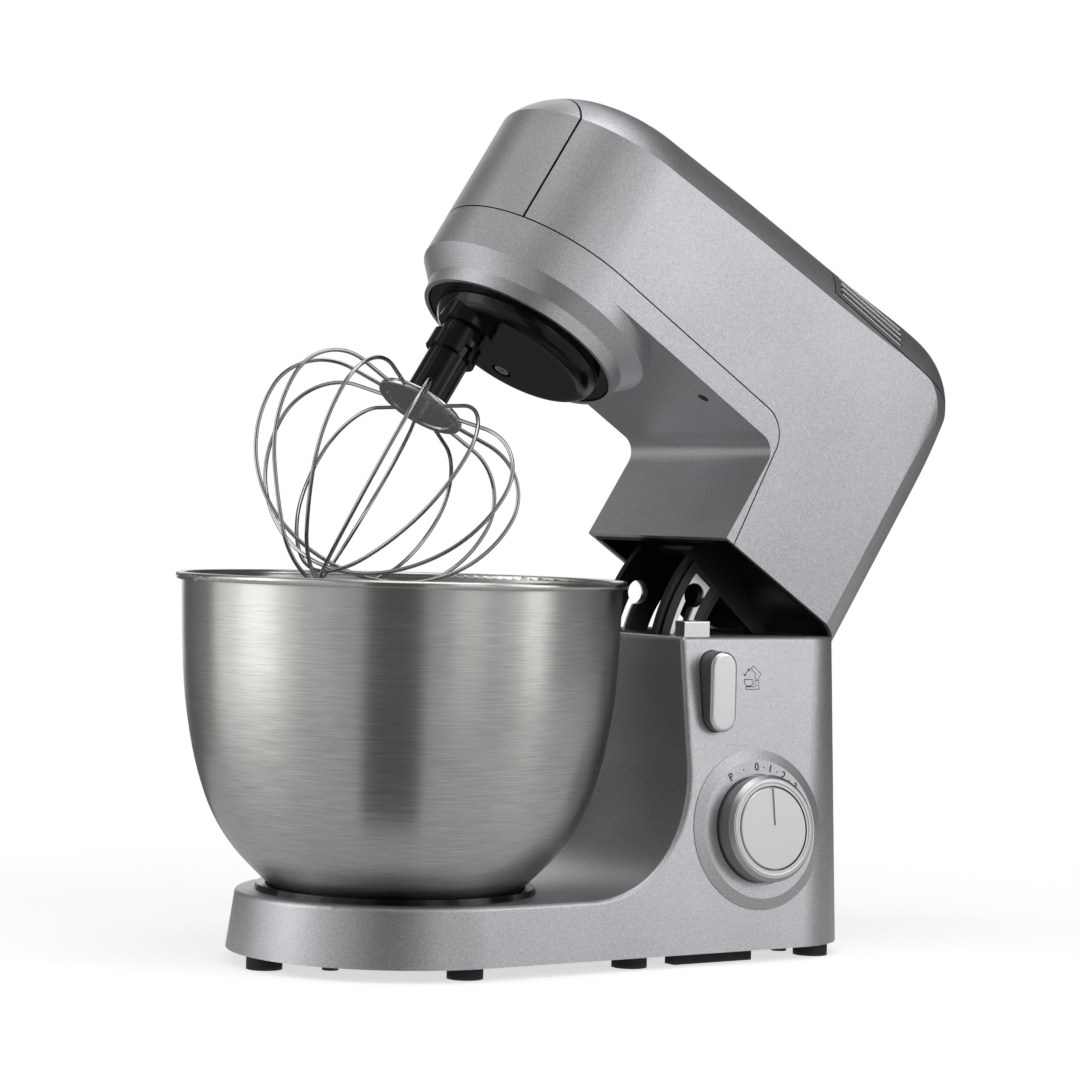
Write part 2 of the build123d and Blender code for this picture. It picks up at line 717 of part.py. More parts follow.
def head_profile(t, low):
    slope = (HEAD_REAR_TOP[0] - REAR_X) / (HEAD_REAR_TOP[1] - HEAD_SPLIT)
    rear_low = REAR_X - t + slope * (low - HEAD_SPLIT)
    roof = [(x, z - t) for x, z in HEAD_TOP]
    last = roof[-1]
    turn_z = last[1] - REAR_ROUND + t
    turn_x = rear_low + slope * (turn_z - low)
    bend_x = COLUMN_FRONT - NECK_CORNER
    bend_z = ARM_UNDER - NECK_CORNER
    front = COLUMN_FRONT + t
    bend = NECK_CORNER + t
    nose = roof[0][0]
    under = ARM_UNDER + t
    edges = [
        Spline(*roof, tangents=[(1, 0.1), (1, 0)]),
        Spline(last, (turn_x, turn_z), tangents=[(1, 0), (-slope, -1)]),
        Polyline((turn_x, turn_z), (rear_low, low), (front, low), (front, bend_z)),
        ThreePointArc((front, bend_z), polar(bend, 45, bend_x, bend_z), (bend_x, under)),
        Polyline((bend_x, under), (nose, under), roof[0]),
    ]
    return make_face(edges)


def head_plan(half, nose, reach):
    front = EllipticalCenterArc((0, 0), nose, half, 90, arc_size=180)
    return make_face([front, Polyline(front @ 1, (reach, -half), (reach, half), front @ 0)])


def nose_skirt(t):
    low = NOSE_LOW - t
    oval = Ellipse(NOSE_REACH - t, HEAD_HALF - t)
    body = Pos(0, 0, NOSE_STEP) * extrude(oval, ARM_UNDER + t + OVERCUT - NOSE_STEP)
    edge = Pos(0, 0, NOSE_EDGE) * Circle(NOSE_R - t)
    body = body + loft([edge, Pos(0, 0, NOSE_STEP) * oval], ruled=True)
    return body + Pos(0, 0, low) * Cone(NOSE_LOW_R - t, NOSE_R - t, NOSE_EDGE - low, align=LOW)


def head_crown(t):
    half = HEAD_HALF + SHOULDER_OVER - t
    nose = NOSE_REACH + SHOULDER_OVER - t
    reach = HEAD_REAR_TOP[0] + CROWN_OVER - t
    roof = [(x, z - t) for x, z in HEAD_TOP]
    top = Spline(*roof, tangents=[(1, 0.1), (1, 0)])
    far = reach + 10
    shape = make_face([top, Polyline(top @ 1, (far, roof[-1][1]), (far, 0), (roof[0][0], 0), top @ 0)])
    outline = head_plan(half, nose, reach)
    outline = fillet(outline.vertices().sort_by(Axis.X)[-2:], CROWN_CORNER - t)
    body = extrude(outline, HEAD_REAR_TOP[1] + 20) & wall_xz(shape, -half - 5, half + 5)
    rim = [e for e in body.edges() if e.position_at(0.5).Z > SEAM_Z]
    return fillet(rim, SHOULDER_R - t)


def head_walls(t):
    half = HEAD_HALF - t
    body = extrude(head_plan(half, NOSE_REACH - t, REAR_X + 40), HEAD_REAR_TOP[1] + 20)
    lean = (HEAD_REAR_TOP[0] - REAR_X) / (HEAD_REAR_TOP[1] - HEAD_SPLIT)
    high = HEAD_REAR_TOP[1] + 25
    back = Polyline((REAR_X - t - lean * HEAD_SPLIT, 0), (REAR_X + 60, 0), (REAR_X + 60, high),
                    (REAR_X - t + lean * (high - HEAD_SPLIT), high), close=True)
    body = body - wall_xz(make_face(back), -half - 5, half + 5)
    upright = [e for e in body.edges() if abs(e.tangent_at(0.5).Z) > 0.9]
    return fillet([e for e in upright if e.position_at(0.5).X > REAR_X - 40], REAR_EDGE_R - t)


def head_solid(t, low):
    body = head_crown(t) & wall_xz(head_profile(t, low), -HEAD_HALF - 5, HEAD_HALF + 5)
    return (body & head_walls(t)) + nose_skirt(t)


def lower_region(grow):
    outline = Polyline((-NOSE_REACH - 20, NOSE_LOW - 10), (-NOSE_REACH - 20, SEAM_Z + grow),
                       (COLUMN_FRONT - 1 + grow, SEAM_Z + grow),
                       (COLUMN_FRONT + SEAM_LEAN + grow, HEAD_SPLIT - 10), close=True)
    face = make_face(outline)
    corner = face.vertices().sort_by(Axis.Y)[-2:].sort_by(Axis.X)[-1]
    return wall_xz(fillet(corner, SEAM_CORNER + grow), -HEAD_HALF - 5, HEAD_HALF + 5)


def cap_region(grow):
    low = SEAM_Z + SEAM_GAP - grow
    half = HEAD_HALF + 5
    return block(-NOSE_REACH - 20, CAP_X + grow, -half, half, low, HEAD_REAR_TOP[1] + 10)


def vent_region(grow):
    half = HEAD_HALF + 5
    return block(VENT_X - grow, REAR_X + 10, -half, half, VENT_Z - grow, HEAD_REAR_TOP[1] + 10)


def make_neck_liner(inside):
    x0 = COLUMN_FRONT + HEAD_WALL
    top = HEAD_SPLIT + TRAY_H
    tray = inside & block(x0, REAR_X, -HEAD_HALF, HEAD_HALF, HEAD_SPLIT, top)
    pocket = block(x0 + LINER_T, REAR_X, -HEAD_HALF, HEAD_HALF, HEAD_SPLIT - 1, top - LINER_T)
    tray = tray - (head_solid(HEAD_WALL + LINER_T, HEAD_SPLIT - 4) & pocket)
    for piece in make_lock_arms() + make_keyhole_plates():
        tray = tray - piece
    return tray - tab_block(TAB_ROOM, HEAD_SPLIT + TAB_SIZE[2] + TAB_ROOM)


def make_head_shells():
    inside = head_solid(HEAD_WALL, HEAD_SPLIT - 4)
    skin = head_solid(0.0, HEAD_SPLIT) - inside
    hole_x, hole_y, hole_r = UNDER_HOLE
    hole = rod(hole_r, ARM_UNDER - OVERCUT, ARM_UNDER + 2 * HEAD_WALL, hole_x, -hole_y)
    lower = (skin & lower_region(0.0)) - hole
    front = skin & cap_region(0.0)
    vent = skin & vent_region(0.0)
    upper = skin - lower_region(SEAM_GAP) - cap_region(SEAM_GAP) - vent_region(SEAM_GAP)
    start, long, high = VENT_SLOT
    x0 = VENT_X + start
    for i in range(VENT_COUNT):
        z = VENT_Z + VENT_FIRST + i * VENT_PITCH
        for y0, y1 in ((VENT_DEPTH, HEAD_HALF + 5), (-HEAD_HALF - 5, -VENT_DEPTH)):
            vent = vent - block(x0, x0 + long, y0, y1, z, z + high)
    return upper, lower, front, vent, make_neck_liner(inside)


def arm_outline():
    at_hinge = Pos(HINGE_X, HINGE_Z)
    middle = (ARM_FROM + ARM_TO) / 2
    fan = at_hinge * make_face([
        Line((0, 0), polar(ARM_R, ARM_FROM)),
        ThreePointArc(polar(ARM_R, ARM_FROM), polar(ARM_R, middle), polar(ARM_R, ARM_TO)),
        Line(polar(ARM_R, ARM_TO), (0, 0)),
    ])
    x0, x1 = ARM_TAB
    tab = Pos((x0 + x1) / 2, (HEAD_SPLIT + FRAME_Z) / 2) * Rectangle(x1 - x0, FRAME_Z - HEAD_SPLIT)
    eye = at_hinge * Circle(ARM_EYE_R)
    return fan + tab + eye


def keyhole_cut():
    r = math.hypot(LOCK_X - HINGE_X, LOCK_Z - HINGE_Z)
    a = 180 + math.degrees(math.atan2(HINGE_Z - LOCK_Z, HINGE_X - LOCK_X))
    half = LOCK_PIN_R + LOCK_SLOT_GAP
    cut = sector(r - half, r + half, a, a + TILT)
    for stop in (a, a + TILT):
        cut = cut + Pos(*polar(r, stop)) * Circle(KEYHOLE_R)
    return Pos(HINGE_X, HINGE_Z) * cut


def make_lock_arms():
    outline = arm_outline() - keyhole_cut() - Pos(HINGE_X, HINGE_Z) * Circle(HINGE_PIN_R + RUNNING)
    outline = outline - Pos(HINGE_X, HINGE_Z) * sector(*ARM_WINDOW)
    return [wall_xz(outline, y - ARM_T / 2, y + ARM_T / 2) for y in (-ARM_Y, ARM_Y)]


def make_keyhole_plates():
    r0, r1, a0, a1 = KEY_PLATE
    outline = Pos(HINGE_X, HINGE_Z) * sector(r0, r1, a0, a1) - keyhole_cut()
    y = ARM_Y + ARM_T / 2
    return [wall_xz(outline, y, y + KEY_PLATE_T), wall_xz(outline, -y - KEY_PLATE_T, -y)]


def make_arm_spacer():
    back, up = SPACER_AT
    y = ARM_Y - ARM_T / 2
    return cross_rod(SPACER_R, ARM_TAB[0] + back, HEAD_SPLIT + up, -y, y)


def make_head_frame():
    half = HEAD_HALF - HEAD_WALL
    outline = head_plan(half, NOSE_REACH - HEAD_WALL, FRAME_END)
    body = Pos(0, 0, FRAME_Z) * extrude(outline, FRAME_T)
    body = body - rod(MAIN_BEARING_R, FRAME_Z, FRAME_TOP)
    body = body - rod(IDLER_BEARING_R, FRAME_Z, FRAME_TOP, IDLER_X)
    for x, y in ring_screw_spots() + arm_screw_spots():
        body = body - rod(SCREW_R, FRAME_Z, FRAME_TOP, x, y)
    return body


def ring_screw_spots():
    r = sum(RING_GEAR_R) / 2
    return [polar(r, a) for a in LUG_ANGLES]


def arm_screw_spots():
    x0, x1 = ARM_TAB
    return [(x, y) for x in (x0 + ARM_SCREW_INSET, x1 - ARM_SCREW_INSET) for y in (-ARM_Y, ARM_Y)]


def make_ring_gear():
    r0, r1 = RING_GEAR_R
    z0, z1 = RING_GEAR_Z
    teeth = gear_face(RING_TEETH, PLANET_MODULE, 1.1, 0.75, 0.56)
    body = rod(r1, z0, FRAME_Z) - rod(r0, z1, FRAME_Z) - Pos(0, 0, z0) * extrude(teeth, z1 - z0)
    for x, y in ring_screw_spots():
        body = body - rod(SCREW_R, z1, FRAME_Z, x, y)
    return body


def make_ring_screws():
    length = FRAME_TOP - RING_GEAR_Z[1]
    return [screw(x, y, FRAME_TOP, length) for x, y in ring_screw_spots()]


def make_arm_screws():
    return [screw(x, y, FRAME_TOP, FRAME_T) for x, y in arm_screw_spots()]


def make_bearings():
    return [tube(MAIN_BEARING_R, MAIN_SHAFT_R + RUNNING, FRAME_Z, FRAME_TOP),
            tube(IDLER_BEARING_R, IDLER_SHAFT_R + RUNNING, FRAME_Z, FRAME_TOP, IDLER_X)]


def make_motor_bracket():
    r_in, r_out = BRACKET_R
    z1 = STATOR_Z[0]
    z0 = z1 - BRACKET_T
    body = tube(r_out, r_in, z0, z1, MOTOR_X)
    for a in (0, 115, 245):
        x, y = polar(POST_RING, a, MOTOR_X)
        body = body + rod(POST_R, FRAME_TOP, z0, x, y)
    return body


def make_motor_stator():
    r_in, r_out = STATOR_R
    return tube(r_out, r_in, *STATOR_Z, MOTOR_X)


def belt_face(grow):
    big = CenterArc((IDLER_X, 0), IDLER_PULLEY_R + grow, 0, 360)
    small = CenterArc((MOTOR_X, 0), MOTOR_PULLEY_R + grow, 0, 360)
    return make_hull([big, small])


def make_drive_belt():
    z0, z1 = PULLEY_Z
    loop = belt_face(BELT_T) - belt_face(BELT_GAP)
    return Pos(0, 0, z0 + BELT_EDGE) * extrude(loop, z1 - z0 - 2 * BELT_EDGE)


def make_planet_cover():
    z0, z1 = DISH_Z
    turn_r = DISH_LOW_R - DISH_ROUND
    turn_z = DISH_LOW + DISH_ROUND
    edges = [
        Polyline((0, z1), (0, DISH_LOW), (turn_r, DISH_LOW)),
        RadiusArc((turn_r, DISH_LOW), (DISH_LOW_R, turn_z), -DISH_ROUND),
        Polyline((DISH_LOW_R, turn_z), (DISH_LOW_R, z0), (DISH_R, z0), (DISH_R, z1), (0, z1)),
    ]
    body = revolve(Plane.XZ * make_face(edges), Axis.Z)
    body = body - tube(DISH_LOW_R - DISH_WALL, HUB_R + DISH_WALL, DISH_LOW + DISH_FLOOR, z1)
    body = body + rod(OUTPUT_BOSS_R, OUTPUT_BOSS_Z, z1, -ORBIT) + rod(HUB_R, z1, HUB_TOP)
    body = body - rod(OUTPUT_R + RUNNING, OUTPUT_BOSS_Z, z1, -ORBIT)
    body = body - rod(MAIN_SHAFT_R, DISH_LOW + DISH_WALL, HUB_TOP)
    x, y = DISH_SCREW
    body = body - rod(SCREW_HEAD_R + DISH_SCREW_ROOM, DISH_LOW, DISH_LOW + DISH_SCREW_DEPTH, x, y)
    return body - rod(SCREW_R, DISH_LOW, z1, x, y)


def make_main_shaft():
    return rod(MAIN_SHAFT_R, DISH_LOW + DISH_WALL, MAIN_GEAR_Z[1] + SHAFT_END)


def make_main_gear():
    return gear(MAIN_TEETH, MAIN_MODULE, *MAIN_GEAR_Z, MAIN_SHAFT_R)


def make_dish_screw():
    x, y = DISH_SCREW
    return screw(x, y, DISH_LOW + DISH_SCREW_DEPTH, DISH_FLOOR - DISH_SCREW_DEPTH, -1)


def make_output_shaft():
    return rod(OUTPUT_R, STEM_LOW + STEM_SOCKET, RING_GEAR_Z[1] + SHAFT_END, -ORBIT)


def make_planet_gear():
    z0 = RING_GEAR_Z[0] + PLANET_GAP
    z1 = RING_GEAR_Z[1] - PLANET_GAP
    return Pos(-ORBIT, 0, 0) * gear(PLANET_TEETH, PLANET_MODULE, z0, z1, OUTPUT_R)


def make_whisk_stem():
    low, high = COLLAR_Z
    wide, land = COLLAR_NOTCH
    body = rod(STEM_R, STEM_LOW, STEM_TOP, -ORBIT) + rod(COLLAR_R, low, high, -ORBIT)
    notch = block(-ORBIT - wide / 2, -ORBIT + wide / 2, -COLLAR_R - OVERCUT, -STEM_R, low, high - land)
    return body - notch - rod(OUTPUT_R, STEM_LOW + STEM_SOCKET, STEM_TOP, -ORBIT)


def make_whisk_disc():
    turn = 180 / (2 * WIRE_LOOPS)
    face = RegularPolygon(WHISK_DISC_R, 2 * WIRE_LOOPS, major_radius=False, rotation=turn)
    return Pos(-ORBIT, 0, STEM_LOW - WHISK_DISC_T) * extrude(face, WHISK_DISC_T)


def make_whisk_wires():
    top = WIRE_TOP
    wide = (WIRE_WIDE, top - WIRE_TURN_R)
    waist = (WIRE_WAIST[0], top - WIRE_WAIST[1])
    reach = Line((WHISK_DISC_R, top), (WIRE_WIDE - WIRE_TURN_R, top))
    turn = TangentArc(reach @ 1, wide, tangent=(1, 0))
    side = TangentArc(wide, waist, tangent=(0, -1))
    loops = []
    for i in range(WIRE_LOOPS):
        low = (0, top - WIRE_DROP + WIRE_STEP * i)
        half = Curve() + [reach, turn, side] + eased(waist, side % 1, low, (-1, 0))
        path = Plane.XZ * Wire((half + mirror(half, Plane.YZ)).edges())
        ring = Plane((WHISK_DISC_R, 0, top), z_dir=(1, 0, 0)) * Circle(WIRE_R)
        wire = sweep(ring, path)
        loops.append(Pos(-ORBIT, 0, 0) * Rot(0, 0, 180 * i / WIRE_LOOPS) * wire)
    return loops


def make_idler_shaft():
    return rod(IDLER_SHAFT_R, FRAME_Z, PULLEY_Z[1] + SHAFT_END, IDLER_X)


def make_idler_pinion():
    z0 = MAIN_GEAR_Z[0] - PINION_OVER
    z1 = MAIN_GEAR_Z[1] + PINION_OVER
    body = gear(PINION_TEETH, MAIN_MODULE, z0, z1, IDLER_SHAFT_R, 180 / PINION_TEETH)
    return Pos(IDLER_X, 0, 0) * body


def pulley(x, r, bore):
    z0, z1 = PULLEY_Z
    rim = r + PULLEY_RIM
    body = rod(r, z0, z1, x) + rod(rim, z0, z0 + PULLEY_RIM_T, x) + rod(rim, z1 - PULLEY_RIM_T, z1, x)
    return body - rod(bore, z0, z1, x)


def make_idler_pulley():
    body = pulley(IDLER_X, IDLER_PULLEY_R, IDLER_SHAFT_R)
    for a in range(0, 360, 60):
        x, y = polar(PULLEY_HOLE_RING, a, IDLER_X)
        body = body - rod(PULLEY_HOLE_R, *PULLEY_Z, x, y)
    return body


def make_motor_pulley():
    return pulley(MOTOR_X, MOTOR_PULLEY_R, MOTOR_SHAFT_R)


def make_motor_shaft():
    return rod(MOTOR_SHAFT_R, PULLEY_Z[0] - SHAFT_END, FAN_Z[1] + SHAFT_END, MOTOR_X)


def make_armature():
    z0 = STATOR_Z[0] + ARMATURE_END
    z1 = STATOR_Z[1] - ARMATURE_END
    body = tube(STATOR_R[0] - ARMATURE_GAP, MOTOR_SHAFT_R, z0, z1, MOTOR_X)
    for a in range(0, 360, 45):
        x, y = polar(STATOR_R[0], a, MOTOR_X)
        body = body - rod(ARMATURE_SLOT_R, z0, z1, x, y)
    return body


def make_cooling_fan():
    z0, z1 = FAN_Z
    low = z0 + FAN_DISC_T
    half = FAN_BLADE_T / 2
    body = rod(FAN_R, z0, low) + rod(FAN_HUB_R, low, z1)
    for a in range(0, 360, 45):
        body = body + Rot(0, 0, a) * block(0.0, FAN_R - FAN_BLADE_EDGE, -half, half, low, z1)
    return Pos(MOTOR_X, 0, 0) * (body - rod(MOTOR_SHAFT_R, z0, z1))


upper_shell, lower_shell, front_cap, rear_vent_cover, neck_liner = make_head_shells()

FIXED = {
    "base_housing": make_base_housing(),
    "base_plate": make_base_plate(),
    "rubber_feet": make_rubber_feet(),
    "side_pads": make_side_pads(),
    "base_screws": make_base_screws(),
    "bowl_seat": make_bowl_seat(),
    "column_cap": make_column_cap(),
    "hinge_frame": make_hinge_frame(),
    "hinge_pin": make_hinge_pin(),
    "hinge_bushings": make_hinge_bushings(),
    "locating_tab": make_locating_tab(),
    "dial_bezel": make_dial_bezel(),
    "speed_switch": make_speed_switch(),
    "control_board": make_control_board(),
    "cord_gland": make_cord_gland(),
    "dial_knob": make_dial_knob(),
    "dial_face": make_dial_face(),
    "dial_shaft": make_dial_shaft(),
    "release_button": make_release_button(),
    "lock_pin": make_lock_pin(),
    "bowl": make_bowl(),
    "bowl_foot": make_bowl_foot(),
}

RAISED = {
    "head_upper_shell": upper_shell,
    "head_lower_shell": lower_shell,
    "front_cap": front_cap,
    "rear_vent_cover": rear_vent_cover,
    "neck_liner": neck_liner,
    "lock_arms": make_lock_arms(),
    "keyhole_plates": make_keyhole_plates(),
    "arm_spacer": make_arm_spacer(),
    "arm_screws": make_arm_screws(),
    "head_frame": make_head_frame(),
    "ring_gear": make_ring_gear(),
    "ring_gear_screws": make_ring_screws(),
    "bearings": make_bearings(),
    "motor_bracket": make_motor_bracket(),
    "motor_stator": make_motor_stator(),
    "drive_belt": make_drive_belt(),
    "planet_cover": make_planet_cover(),
    "main_shaft": make_main_shaft(),
    "main_gear": make_main_gear(),
    "dish_screw": make_dish_screw(),
    "output_shaft": make_output_shaft(),
    "planet_gear": make_planet_gear(),
    "whisk_stem": make_whisk_stem(),
    "whisk_disc": make_whisk_disc(),
    "whisk_wires": make_whisk_wires(),
    "idler_shaft": make_idler_shaft(),
    "idler_pinion": make_idler_pinion(),
    "idler_pulley": make_idler_pulley(),
    "motor_pulley": make_motor_pulley(),
    "motor_shaft": make_motor_shaft(),
    "armature": make_armature(),
    "cooling_fan": make_cooling_fan(),
}


def solids_of(piece):
    if isinstance(piece, (list, tuple)):
        return [s for item in piece for s in item.solids()]
    return list(piece.solids())


lift = Pos(HINGE_X, 0, HINGE_Z) * Rot(0, TILT, 0) * Pos(-HINGE_X, 0, -HINGE_Z)
nodes = {name: solids_of(piece) for name, piece in FIXED.items()}
for name, piece in RAISED.items():
    nodes[name] = [lift * s for s in solids_of(piece)]

boxes = [s.bounding_box() for group in nodes.values() for s in group]
front_x = min(b.min.X for b in boxes)
rear_x = max(b.max.X for b in boxes)
shift = -(front_x + rear_x) / 2
print("shift_x_mm", round(shift, 4), "length_mm", round(rear_x - front_x, 3))

os.makedirs("parts", exist_ok=True)
for name, group in nodes.items():
    placed = [Pos(shift, 0, 0) * s for s in group]
    shape = placed[0] if len(placed) == 1 else Compound(placed)
    shape.label = name
    export_step(shape, "parts/" + name + ".step")
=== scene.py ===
import json
import math

import bpy
from mathutils import Matrix, Vector


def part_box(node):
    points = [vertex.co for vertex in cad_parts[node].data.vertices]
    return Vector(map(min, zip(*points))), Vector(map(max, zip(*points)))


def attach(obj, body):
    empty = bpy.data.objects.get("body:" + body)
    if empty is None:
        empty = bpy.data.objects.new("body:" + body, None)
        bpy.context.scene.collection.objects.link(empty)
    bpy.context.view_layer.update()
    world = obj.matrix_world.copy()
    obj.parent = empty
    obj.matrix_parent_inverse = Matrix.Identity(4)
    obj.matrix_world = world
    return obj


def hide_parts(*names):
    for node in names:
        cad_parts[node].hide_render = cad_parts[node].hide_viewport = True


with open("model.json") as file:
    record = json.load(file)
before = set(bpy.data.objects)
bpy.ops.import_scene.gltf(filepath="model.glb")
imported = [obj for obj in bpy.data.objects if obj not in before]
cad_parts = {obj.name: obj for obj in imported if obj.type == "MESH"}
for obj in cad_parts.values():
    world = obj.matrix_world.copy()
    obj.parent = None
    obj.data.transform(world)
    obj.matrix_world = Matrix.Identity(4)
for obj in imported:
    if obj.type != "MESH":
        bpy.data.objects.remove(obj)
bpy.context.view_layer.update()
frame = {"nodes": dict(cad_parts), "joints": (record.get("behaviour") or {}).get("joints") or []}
nodes = frame["nodes"]
joints = {j["name"]: j for j in frame["joints"]}
bpy.ops.object.select_all(action="DESELECT")
print("frame loaded:", len(nodes), "nodes")

hinge = Vector(joints["head_tilt"]["pos_m"])
bowlAxis = Vector(joints["bowl_twist"]["pos_m"])
dialSpot = Vector(joints["speed_dial"]["pos_m"])
dialOut = Vector(joints["speed_dial"]["axis"])
headTilt = math.radians(33)
headLift = (Matrix.Translation(hinge) @ Matrix.Rotation(headTilt, 4, "Y")
            @ Matrix.Translation(-hinge))       # from the closed head to the raised one


def freshMaterial(name):
    made = bpy.data.materials.new(name)
    made.use_nodes = True
    tree = made.node_tree
    tree.nodes.clear()
    out = tree.nodes.new("ShaderNodeOutputMaterial")
    skin = tree.nodes.new("ShaderNodeBsdfPrincipled")
    tree.links.new(skin.outputs[0], out.inputs[0])
    return made, tree, skin


def add(tree, kind, **values):
    made = tree.nodes.new("ShaderNode" + kind)
    for key, value in values.items():
        if hasattr(made, key):
            setattr(made, key, value)
        else:
            made.inputs[key.replace("_", " ")].default_value = value
    return made


def join(tree, a, b):
    tree.links.new(a, b)


def calc(tree, operation, a, b=None):
    made = tree.nodes.new("ShaderNodeMath")
    made.operation = operation
    for i, value in enumerate((a, b)):
        if value is None:
            continue
        if isinstance(value, (int, float)):
            made.inputs[i].default_value = value
        else:
            tree.links.new(value, made.inputs[i])
    return made.outputs[0]


def both(tree, a, b):
    return calc(tree, "MULTIPLY", a, b)


def total(tree, a, b):
    return calc(tree, "ADD", a, b)


def most(tree, a, b):
    return calc(tree, "MAXIMUM", a, b)


def past(tree, value, spot):
    return calc(tree, "GREATER_THAN", value, spot)


def short(tree, value, spot):
    return calc(tree, "LESS_THAN", value, spot)


def less(tree, a, b):
    return calc(tree, "SUBTRACT", a, b)


def distance(tree, a, b):
    return calc(tree, "SQRT", total(tree, both(tree, a, a), both(tree, b, b)))


def ramp(tree, value, low, high):
    made = tree.nodes.new("ShaderNodeMapRange")
    made.interpolation_type = "SMOOTHSTEP"
    made.inputs["From Min"].default_value = low
    made.inputs["From Max"].default_value = high
    tree.links.new(value, made.inputs["Value"])
    return made.outputs[0]


def mixColour(tree, factor, a, b):
    made = tree.nodes.new("ShaderNodeMix")
    made.data_type = "RGBA"
    tree.links.new(factor, made.inputs[0])
    for socket, value in ((made.inputs[6], a), (made.inputs[7], b)):
        if isinstance(value, tuple):
            socket.default_value = (*value, 1)
        else:
            tree.links.new(value, socket)
    return made.outputs[2]


def place(tree, centre=(0, 0, 0), turnY=0.0):
    spot = add(tree, "TexCoord")
    move = add(tree, "VectorMath", operation="SUBTRACT")
    move.inputs[1].default_value = centre
    join(tree, spot.outputs["Object"], move.inputs[0])
    if not turnY:
        return move.outputs[0]
    turned = add(tree, "VectorRotate", rotation_type="Y_AXIS")
    turned.inputs["Angle"].default_value = turnY
    join(tree, move.outputs[0], turned.inputs["Vector"])
    return turned.outputs[0]


def parts(tree, where):
    apart = add(tree, "SeparateXYZ")
    join(tree, where, apart.inputs[0])
    return apart.outputs


def noise(tree, where, scale, detail=2.0, rough=0.5):
    made = add(tree, "TexNoise", Scale=scale, Detail=detail, Roughness=rough)
    join(tree, where, made.inputs["Vector"])
    return made.outputs["Fac"]


bumpHeight = 0.0002


def bump(tree, height, skin, strength):
    made = add(tree, "Bump", Strength=strength, Distance=bumpHeight)
    join(tree, height, made.inputs["Height"])
    join(tree, made.outputs[0], skin.inputs["Normal"])


def vary(tree, fine, skin, rough, spread):
    join(tree, total(tree, both(tree, fine, spread), rough - spread / 2), skin.inputs["Roughness"])


# the head's panel seams; "dark" is near-black painted shade for the walls inside the panel gaps
headGapShade = {"capX": -0.2795, "ventX": -0.1103, "ventZ": 0.1684, "cornerX": -0.11387, "cornerZ": 0.07570,
             "cornerRadius": 0.0163, "legLean": 0.0935, "half": 0.00036, "dark": (0.006, 0.006, 0.007)}


def gapShadeMask(tree, gapShade):
    # marks the seam walls, which are painted near black as shade in the gaps
    x, y, z = parts(tree, place(tree, tuple(hinge), -headTilt))       # the head as if it were closed

    def near(value, spot):
        return short(tree, calc(tree, "ABSOLUTE", less(tree, value, spot)), gapShade["half"])

    # the lower seam runs level, round a corner and down a leaning leg
    side, high = less(tree, x, gapShade["cornerX"]), less(tree, z, gapShade["cornerZ"])
    across, along = math.cos(gapShade["legLean"]), math.sin(gapShade["legLean"])
    out = total(tree, both(tree, side, across), both(tree, high, along))
    down = less(tree, both(tree, side, along), both(tree, high, across))
    radius = gapShade["cornerRadius"]
    turning = both(tree, past(tree, side, 0.0), short(tree, down, 0.0))
    lines = [
        both(tree, near(high, radius), short(tree, side, 0.0)),
        both(tree, near(distance(tree, side, high), radius), turning),
        both(tree, near(out, radius), past(tree, down, 0.0)),
        both(tree, near(x, gapShade["capX"]), past(tree, z, gapShade["cornerZ"] + radius)),
        both(tree, near(x, gapShade["ventX"]), past(tree, z, gapShade["ventZ"])),
        both(tree, near(z, gapShade["ventZ"]), past(tree, x, gapShade["ventX"])),
    ]
    paintedGapShade = lines[0]
    for line in lines[1:]:
        paintedGapShade = most(tree, paintedGapShade, line)
    return paintedGapShade


flakeLook = {"scale": 1500, "share": 0.8, "cloudScale": 14, "cloudShare": 0.2, "from": 0.3, "to": 0.7,
             "roughSpread": 0.12, "bump": 0.12, "detail": 2, "grit": 0.6}


def silverPaint(name, low, high, rough, metal, gapShade=None):
    made, tree, skin = freshMaterial(name)
    here = place(tree)
    # metal flakes in the paint, over a faint cloud
    flake = noise(tree, here, flakeLook["scale"], flakeLook["detail"], flakeLook["grit"])
    cloud = noise(tree, here, flakeLook["cloudScale"])
    mixed = total(tree, both(tree, flake, flakeLook["share"]), both(tree, cloud, flakeLook["cloudShare"]))
    colour = mixColour(tree, ramp(tree, mixed, flakeLook["from"], flakeLook["to"]), low, high)
    if gapShade:
        # painted shade: the walls inside the panel gaps go near black
        colour = mixColour(tree, gapShadeMask(tree, gapShade), colour, gapShade["dark"])
    join(tree, colour, skin.inputs["Base Color"])
    vary(tree, flake, skin, rough, flakeLook["roughSpread"])
    skin.inputs["Metallic"].default_value = metal
    bump(tree, flake, skin, flakeLook["bump"])
    return made


fineDetail = 3
plasticLook = {"smearScale": 30, "lighter": 1.25, "lift": 0.002, "roughSpread": 0.1}


def plastic(name, colour, rough, grain=900, depth=0.08, gloss=0.5):
    made, tree, skin = freshMaterial(name)
    here = place(tree)
    fine = noise(tree, here, grain, fineDetail)
    smear = noise(tree, here, plasticLook["smearScale"])
    light = tuple(min(1.0, c * plasticLook["lighter"] + plasticLook["lift"]) for c in colour)
    join(tree, mixColour(tree, smear, colour, light), skin.inputs["Base Color"])
    vary(tree, fine, skin, rough, plasticLook["roughSpread"])
    skin.inputs["Specular IOR Level"].default_value = gloss
    bump(tree, fine, skin, depth)
    return made


metalDarker = 0.85


def metalFinish(name, colour, rough, grain=700, spread=0.1):
    made, tree, skin = freshMaterial(name)
    here = place(tree)
    fine = noise(tree, here, grain, fineDetail)
    dark = tuple(c * metalDarker for c in colour)
    join(tree, mixColour(tree, fine, dark, colour), skin.inputs["Base Color"])
    vary(tree, fine, skin, rough, spread)
    skin.inputs["Metallic"].default_value = 1.0
    return made


